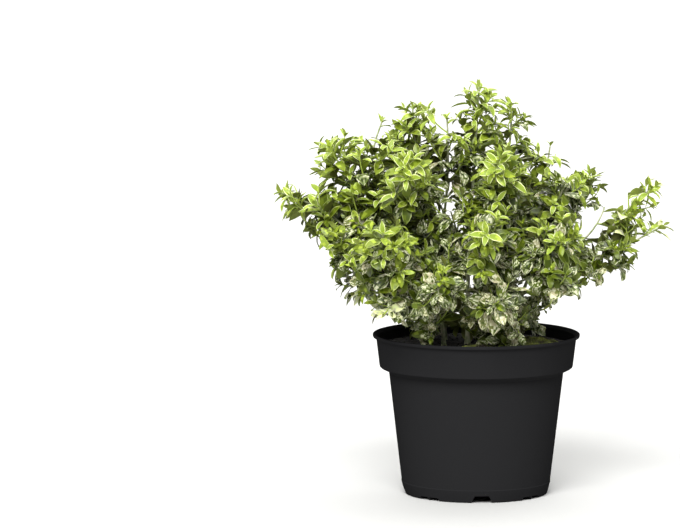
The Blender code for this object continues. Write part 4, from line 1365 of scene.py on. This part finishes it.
class MakeMoss(bpy.types.Operator):
    """Makes the moss cushions with their leafy tips"""

    bl_idname = "wintercreeper.make_moss"
    bl_label = "Moss"

    SEGMENTS, RINGS = 48, 28
    SINK = 0.0003

    # How the cushions swell: height and waves of the swellings and of the tufts
    SWELL, SWELL_WAVES = 0.35, 2.5
    TUFT, TUFT_WAVES = 0.12, 9.0

    # The leafy tips: how many on a square metre, from and to for their lean and length, and as
    # shares of their length their width, bend and foot
    BLADES_PER_AREA = 3.2e6
    BLADE_LEAN = (-0.8, 0.8)
    BLADE_LENGTHS = (0.5, 1.0)
    BLADE_WIDTH = 0.16
    BLADE_BEND = 0.15
    BLADE_FOOT = 0.4
    LEAST_RISE = 0.05

    def execute(self, context):
        moss = living_moss(context.scene.wintercreeper_colours.moss)
        for name, (centre, radii) in MOSS_PATCHES.items():
            corners = self.cushion_corners(centre, radii)
            faces = between_rings(self.RINGS - 1, self.SEGMENTS)
            foot = len(corners) - 1
            last = foot - self.SEGMENTS
            for step in range(self.SEGMENTS):
                faces.append((last + step, foot, last + (step + 1) % self.SEGMENTS))
            mesh = bpy.data.meshes.new(f"{name}_cushion")
            mesh.from_pydata(corners, [], faces)
            smooth(mesh, 60.0)
            claim(add_object(f"{name}_cushion", mesh, moss), "moss", name)
            self.add_blades(context, name, mesh, moss, radii)
        return {"FINISHED"}

    def cushion_corners(self, centre, radii):
        """Corners of a ball, top first, that swells in tufts and is pressed flat underneath."""
        # Blender's own sphere has its faces in another order each run, which would move the tips
        ball = [Vector((0.0, 0.0, 1.0))]
        for ring in range(1, self.RINGS):
            down = math.pi * ring / self.RINGS
            for step in range(self.SEGMENTS):
                turn = math.tau * step / self.SEGMENTS
                ball.append(Vector((math.sin(down) * math.cos(turn),
                                    math.sin(down) * math.sin(turn), math.cos(down))))
        ball.append(Vector((0.0, 0.0, -1.0)))
        shift = Vector(radii) * 100
        corners = []
        for place in ball:
            swell = 1.0 + self.SWELL * noise.noise(place * self.SWELL_WAVES + shift)
            swell += self.TUFT * noise.noise(place * self.TUFT_WAVES)
            corners.append((centre[0] + place.x * radii[0], centre[1] + place.y * radii[1],
                            COMPOST_TOP + self.SINK + max(place.z, 0.0) * swell * radii[2]))
        return corners

    def add_blades(self, context, name, mesh, moss, radii):
        """Small leafy tips that stand on the cushion."""
        rng = random.Random(name)
        size = context.scene.wintercreeper_pot.moss_blade
        count = int(radii[0] * radii[1] * math.pi * self.BLADES_PER_AREA)
        faces = [f for f in mesh.polygons if f.normal.z > self.LEAST_RISE]
        weights = [f.area for f in faces]
        corners, quads = [], []
        for face in rng.choices(faces, weights, k=count):
            a, b = (mesh.vertices[face.vertices[k]].co for k in (0, 2))
            root = a.lerp(b, rng.random()) - face.normal * self.SINK
            stray = Vector([rng.uniform(*self.BLADE_LEAN) for _ in range(3)])
            way = (face.normal + stray).normalized()
            side = way.orthogonal().normalized()
            side.rotate(Matrix.Rotation(rng.uniform(0, math.tau), 3, way))
            long, wide = size * rng.uniform(*self.BLADE_LENGTHS), size * self.BLADE_WIDTH
            middle = root + way * long * 0.5
            bend = way.cross(side) * long * self.BLADE_BEND
            start = len(corners)
            corners += [root - side * wide * self.BLADE_FOOT, root + side * wide * self.BLADE_FOOT,
                        middle + side * wide + bend, middle - side * wide + bend,
                        root + way * long]
            quads += [(start, start + 1, start + 2, start + 3), (start + 3, start + 2, start + 4)]
        made = bpy.data.meshes.new(f"{name}_tips")
        made.from_pydata([c[:] for c in corners], [], quads)
        claim(add_object(f"{name}_tips", made, moss), "moss")


class MakeLimbs(bpy.types.Operator):
    """Makes the stems and boughs with the relief of their bark"""

    bl_idname = "wintercreeper.make_limbs"
    bl_label = "Stems and boughs"

    STEM_POINTS, BOUGH_POINTS = 72, 40
    SIDES = 12
    BARK_RELIEF = 0.00034
    SEED_STEP = 3.7

    # Points from one leaf scar to the next, and how much the limb swells there
    SCAR_SPACING = 9
    SCAR_SWELL, SCAR_REACH = 0.10, 0.55

    def execute(self, context):
        parts = []
        half = (self.SCAR_SPACING - 1) / 2
        for index, limb in enumerate(all_limbs(self.STEM_POINTS, self.BOUGH_POINTS).values()):
            radii = []
            for i, radius in enumerate(limb.radii):
                scar = max(0.0, abs((i % self.SCAR_SPACING) - half) / half - self.SCAR_REACH)
                radii.append(radius * BARE_SHARE * (1.0 + self.SCAR_SWELL * scar))
            corners, quads = tube(
                limb.points, radii, self.SIDES, self.BARK_RELIEF, index * self.SEED_STEP)
            parts.append((corners, quads, np.zeros(len(quads), int)))
        mesh = quad_mesh("bark_limbs", *joined(parts))
        smooth(mesh, 60.0)
        bark = green_bark(context.scene.wintercreeper_colours.bark)
        claim(add_object("bark_limbs", mesh, bark), "bark", *STEMS, *BOUGHS)
        return {"FINISHED"}


class GrowCrown(bpy.types.Operator):
    """Grows the shoots and leaves, each kind joined into pieces of its own"""

    bl_idname = "wintercreeper.grow_crown"
    bl_label = "Shoots and leaves"

    # The most faces of one piece
    MOST_QUADS = 90000
    SHOOT_SIDES = 6

    def execute(self, context):
        crown = Crown(context.scene.wintercreeper_crown)
        self.make_shoots(context, crown)
        finishes = {name: waxed_leaf(name) for name in LEAF_COLOURS}
        standing = list(MASSES)
        for name, kind in LEAF_KINDS.items():
            rng = random.Random(f"leaves {name}")
            leaves = [leaf for leaf in crown.leaves if leaf.kind == name]
            per_leaf = kind.rows * (kind.columns + 2)
            per_piece = self.MOST_QUADS // per_leaf
            for number, start in enumerate(range(0, len(leaves), per_piece)):
                arrays = leaf_arrays(rng, leaves[start:start + per_piece], name)
                piece_name = f"leaves_{name}_{number + 1}"
                mesh = quad_mesh(piece_name, *arrays)
                smooth(mesh, 62.0)
                used = [finishes[colour] for colour in kind.colours]
                claim(add_object(piece_name, mesh, *used), "foliage", *standing)
                standing = []
        return {"FINISHED"}

    def make_shoots(self, context, crown):
        """The leading twigs with bark, and the soft side shoots."""
        colours = context.scene.wintercreeper_colours
        woody = green_bark(colours.bark)
        woody.name = "bark_green_young"
        soft = soft_shoot("shoot_soft_green", colours.shoot)
        leading = [shoot for shoot in crown.shoots if shoot.order == 0]
        finer = [shoot for shoot in crown.shoots if shoot.order > 0]
        groups = (("twigs_leading", leading, woody), ("twigs_side", finer, soft))
        for name, shoots, material in groups:
            parts = []
            for shoot in shoots:
                count = len(shoot.points)
                fall = (shoot.tip_radius - shoot.foot_radius) / (count - 1)
                radii = [shoot.foot_radius + fall * i for i in range(count)]
                corners, quads = tube(shoot.points, radii, self.SHOOT_SIDES)
                parts.append((corners, quads, np.zeros(len(quads), int)))
            mesh = quad_mesh(name, *joined(parts))
            smooth(mesh, 60.0)
            claim(add_object(name, mesh, material), "bark")


class MakeStage(bpy.types.Operator):
    """Makes the pale floor, the soft studio light and the camera"""

    bl_idname = "wintercreeper.make_stage"
    bl_label = "Floor, light and camera"

    # The studio's grey by the height that a direction rises: white below the level, dim above it
    # and lighter overhead
    SKY_GREYS = ((0.0, 1.0), (0.01, 0.42), (1.0, 0.95))

    # Where each lamp shines from, its strength and how many degrees wide it is
    LAMPS = {
        "key": ((-0.16, -0.84, 0.78), 5.5, 36.0),
        "top": ((0.05, 0.45, 1.00), 2.0, 60.0),
    }
    FLOOR_HALF = 30.0
    FLOOR_DROP = 0.0002

    # The photograph's view: from almost 5 m away, a little above, through a long lens
    CAMERA_PLACE = (-0.125, -4.965, 0.803)
    CAMERA_TILT = 83.2
    LENS_MM, SENSOR_MM = 289.0, 36.0
    FARTHEST = 50.0

    def execute(self, context):
        scene = context.scene
        bm = bmesh.new()
        bmesh.ops.create_grid(bm, x_segments=1, y_segments=1, size=self.FLOOR_HALF)
        paper, shader = finish("paper_backdrop_matte", linear("#B9B9B7"), 0.9)
        add_relief(paper, shader, 1 / (3 * MM), 2.0, 0.02 * MM)
        floor = add_object("floor", mesh_of(bm, "floor"), paper)
        floor.location.z = -self.FLOOR_DROP
        for name, (place, strength, width) in self.LAMPS.items():
            self.add_lamp(name, place, strength, width)
        world = bpy.data.worlds.new("studio")
        world.use_nodes = True
        tree = world.node_tree
        way = add_node(tree, "ShaderNodeTexCoord").outputs["Generated"]
        height = add_node(tree, "ShaderNodeSeparateXYZ", links={"Vector": way}).outputs["Z"]
        light = add_ramp(tree, height, [(z, (grey,) * 3) for z, grey in self.SKY_GREYS])
        tree.links.new(light, tree.nodes["Background"].inputs["Color"])
        scene.world = world
        scene.view_settings.view_transform = "Standard"
        lens = bpy.data.cameras.new("camera")
        lens.lens = self.LENS_MM
        lens.sensor_width = self.SENSOR_MM
        lens.clip_end = self.FARTHEST
        camera = bpy.data.objects.new("camera", lens)
        camera.location = self.CAMERA_PLACE
        camera.rotation_euler = (math.radians(self.CAMERA_TILT), 0.0, 0.0)
        scene.collection.objects.link(camera)
        scene.camera = camera
        return {"FINISHED"}

    def add_lamp(self, name, place, strength, width):
        """A wide, even light from this side, as from a large soft box."""
        lamp = bpy.data.lights.new(name, "SUN")
        lamp.energy = strength
        lamp.angle = math.radians(width)
        made = bpy.data.objects.new(name, lamp)
        made.location = place
        made.rotation_euler = (-Vector(place)).to_track_quat("-Z", "Y").to_euler()
        bpy.context.scene.collection.objects.link(made)


MAKERS = (MakePot, MakeCompost, MakeMoss, MakeLimbs, GrowCrown, MakeStage)


class WintercreeperPanel(bpy.types.Panel):
    """Lists the pieces of the plant"""

    bl_idname = "VIEW3D_PT_wintercreeper"
    bl_label = "Potted wintercreeper"
    bl_space_type = "VIEW_3D"
    bl_region_type = "UI"
    bl_category = "Wintercreeper"

    def draw(self, context):
        for group in ("wintercreeper_pot", "wintercreeper_crown", "wintercreeper_colours"):
            holder = getattr(context.scene, group)
            box = self.layout.box()
            for key in holder.__annotations__:
                box.prop(holder, key)
        for maker in MAKERS:
            self.layout.operator(maker.bl_idname)


CLASSES = (PotSizes, CrownSizes, Colours, *MAKERS, WintercreeperPanel)


def register():
    """Makes the operators, the panel and the properties known to Blender."""
    for cls in CLASSES:
        bpy.utils.register_class(cls)
    bpy.types.Scene.wintercreeper_pot = PointerProperty(type=PotSizes)
    bpy.types.Scene.wintercreeper_crown = PointerProperty(type=CrownSizes)
    bpy.types.Scene.wintercreeper_colours = PointerProperty(type=Colours)


def unregister():
    """Takes them back out."""
    del bpy.types.Scene.wintercreeper_pot
    del bpy.types.Scene.wintercreeper_crown
    del bpy.types.Scene.wintercreeper_colours
    for cls in reversed(CLASSES):
        bpy.utils.unregister_class(cls)


def main():
    """Makes every piece in order."""
    register()
    for maker in MAKERS:
        group, name = maker.bl_idname.split(".")
        getattr(getattr(bpy.ops, group), name)()


if __name__ == "__main__":
    main()
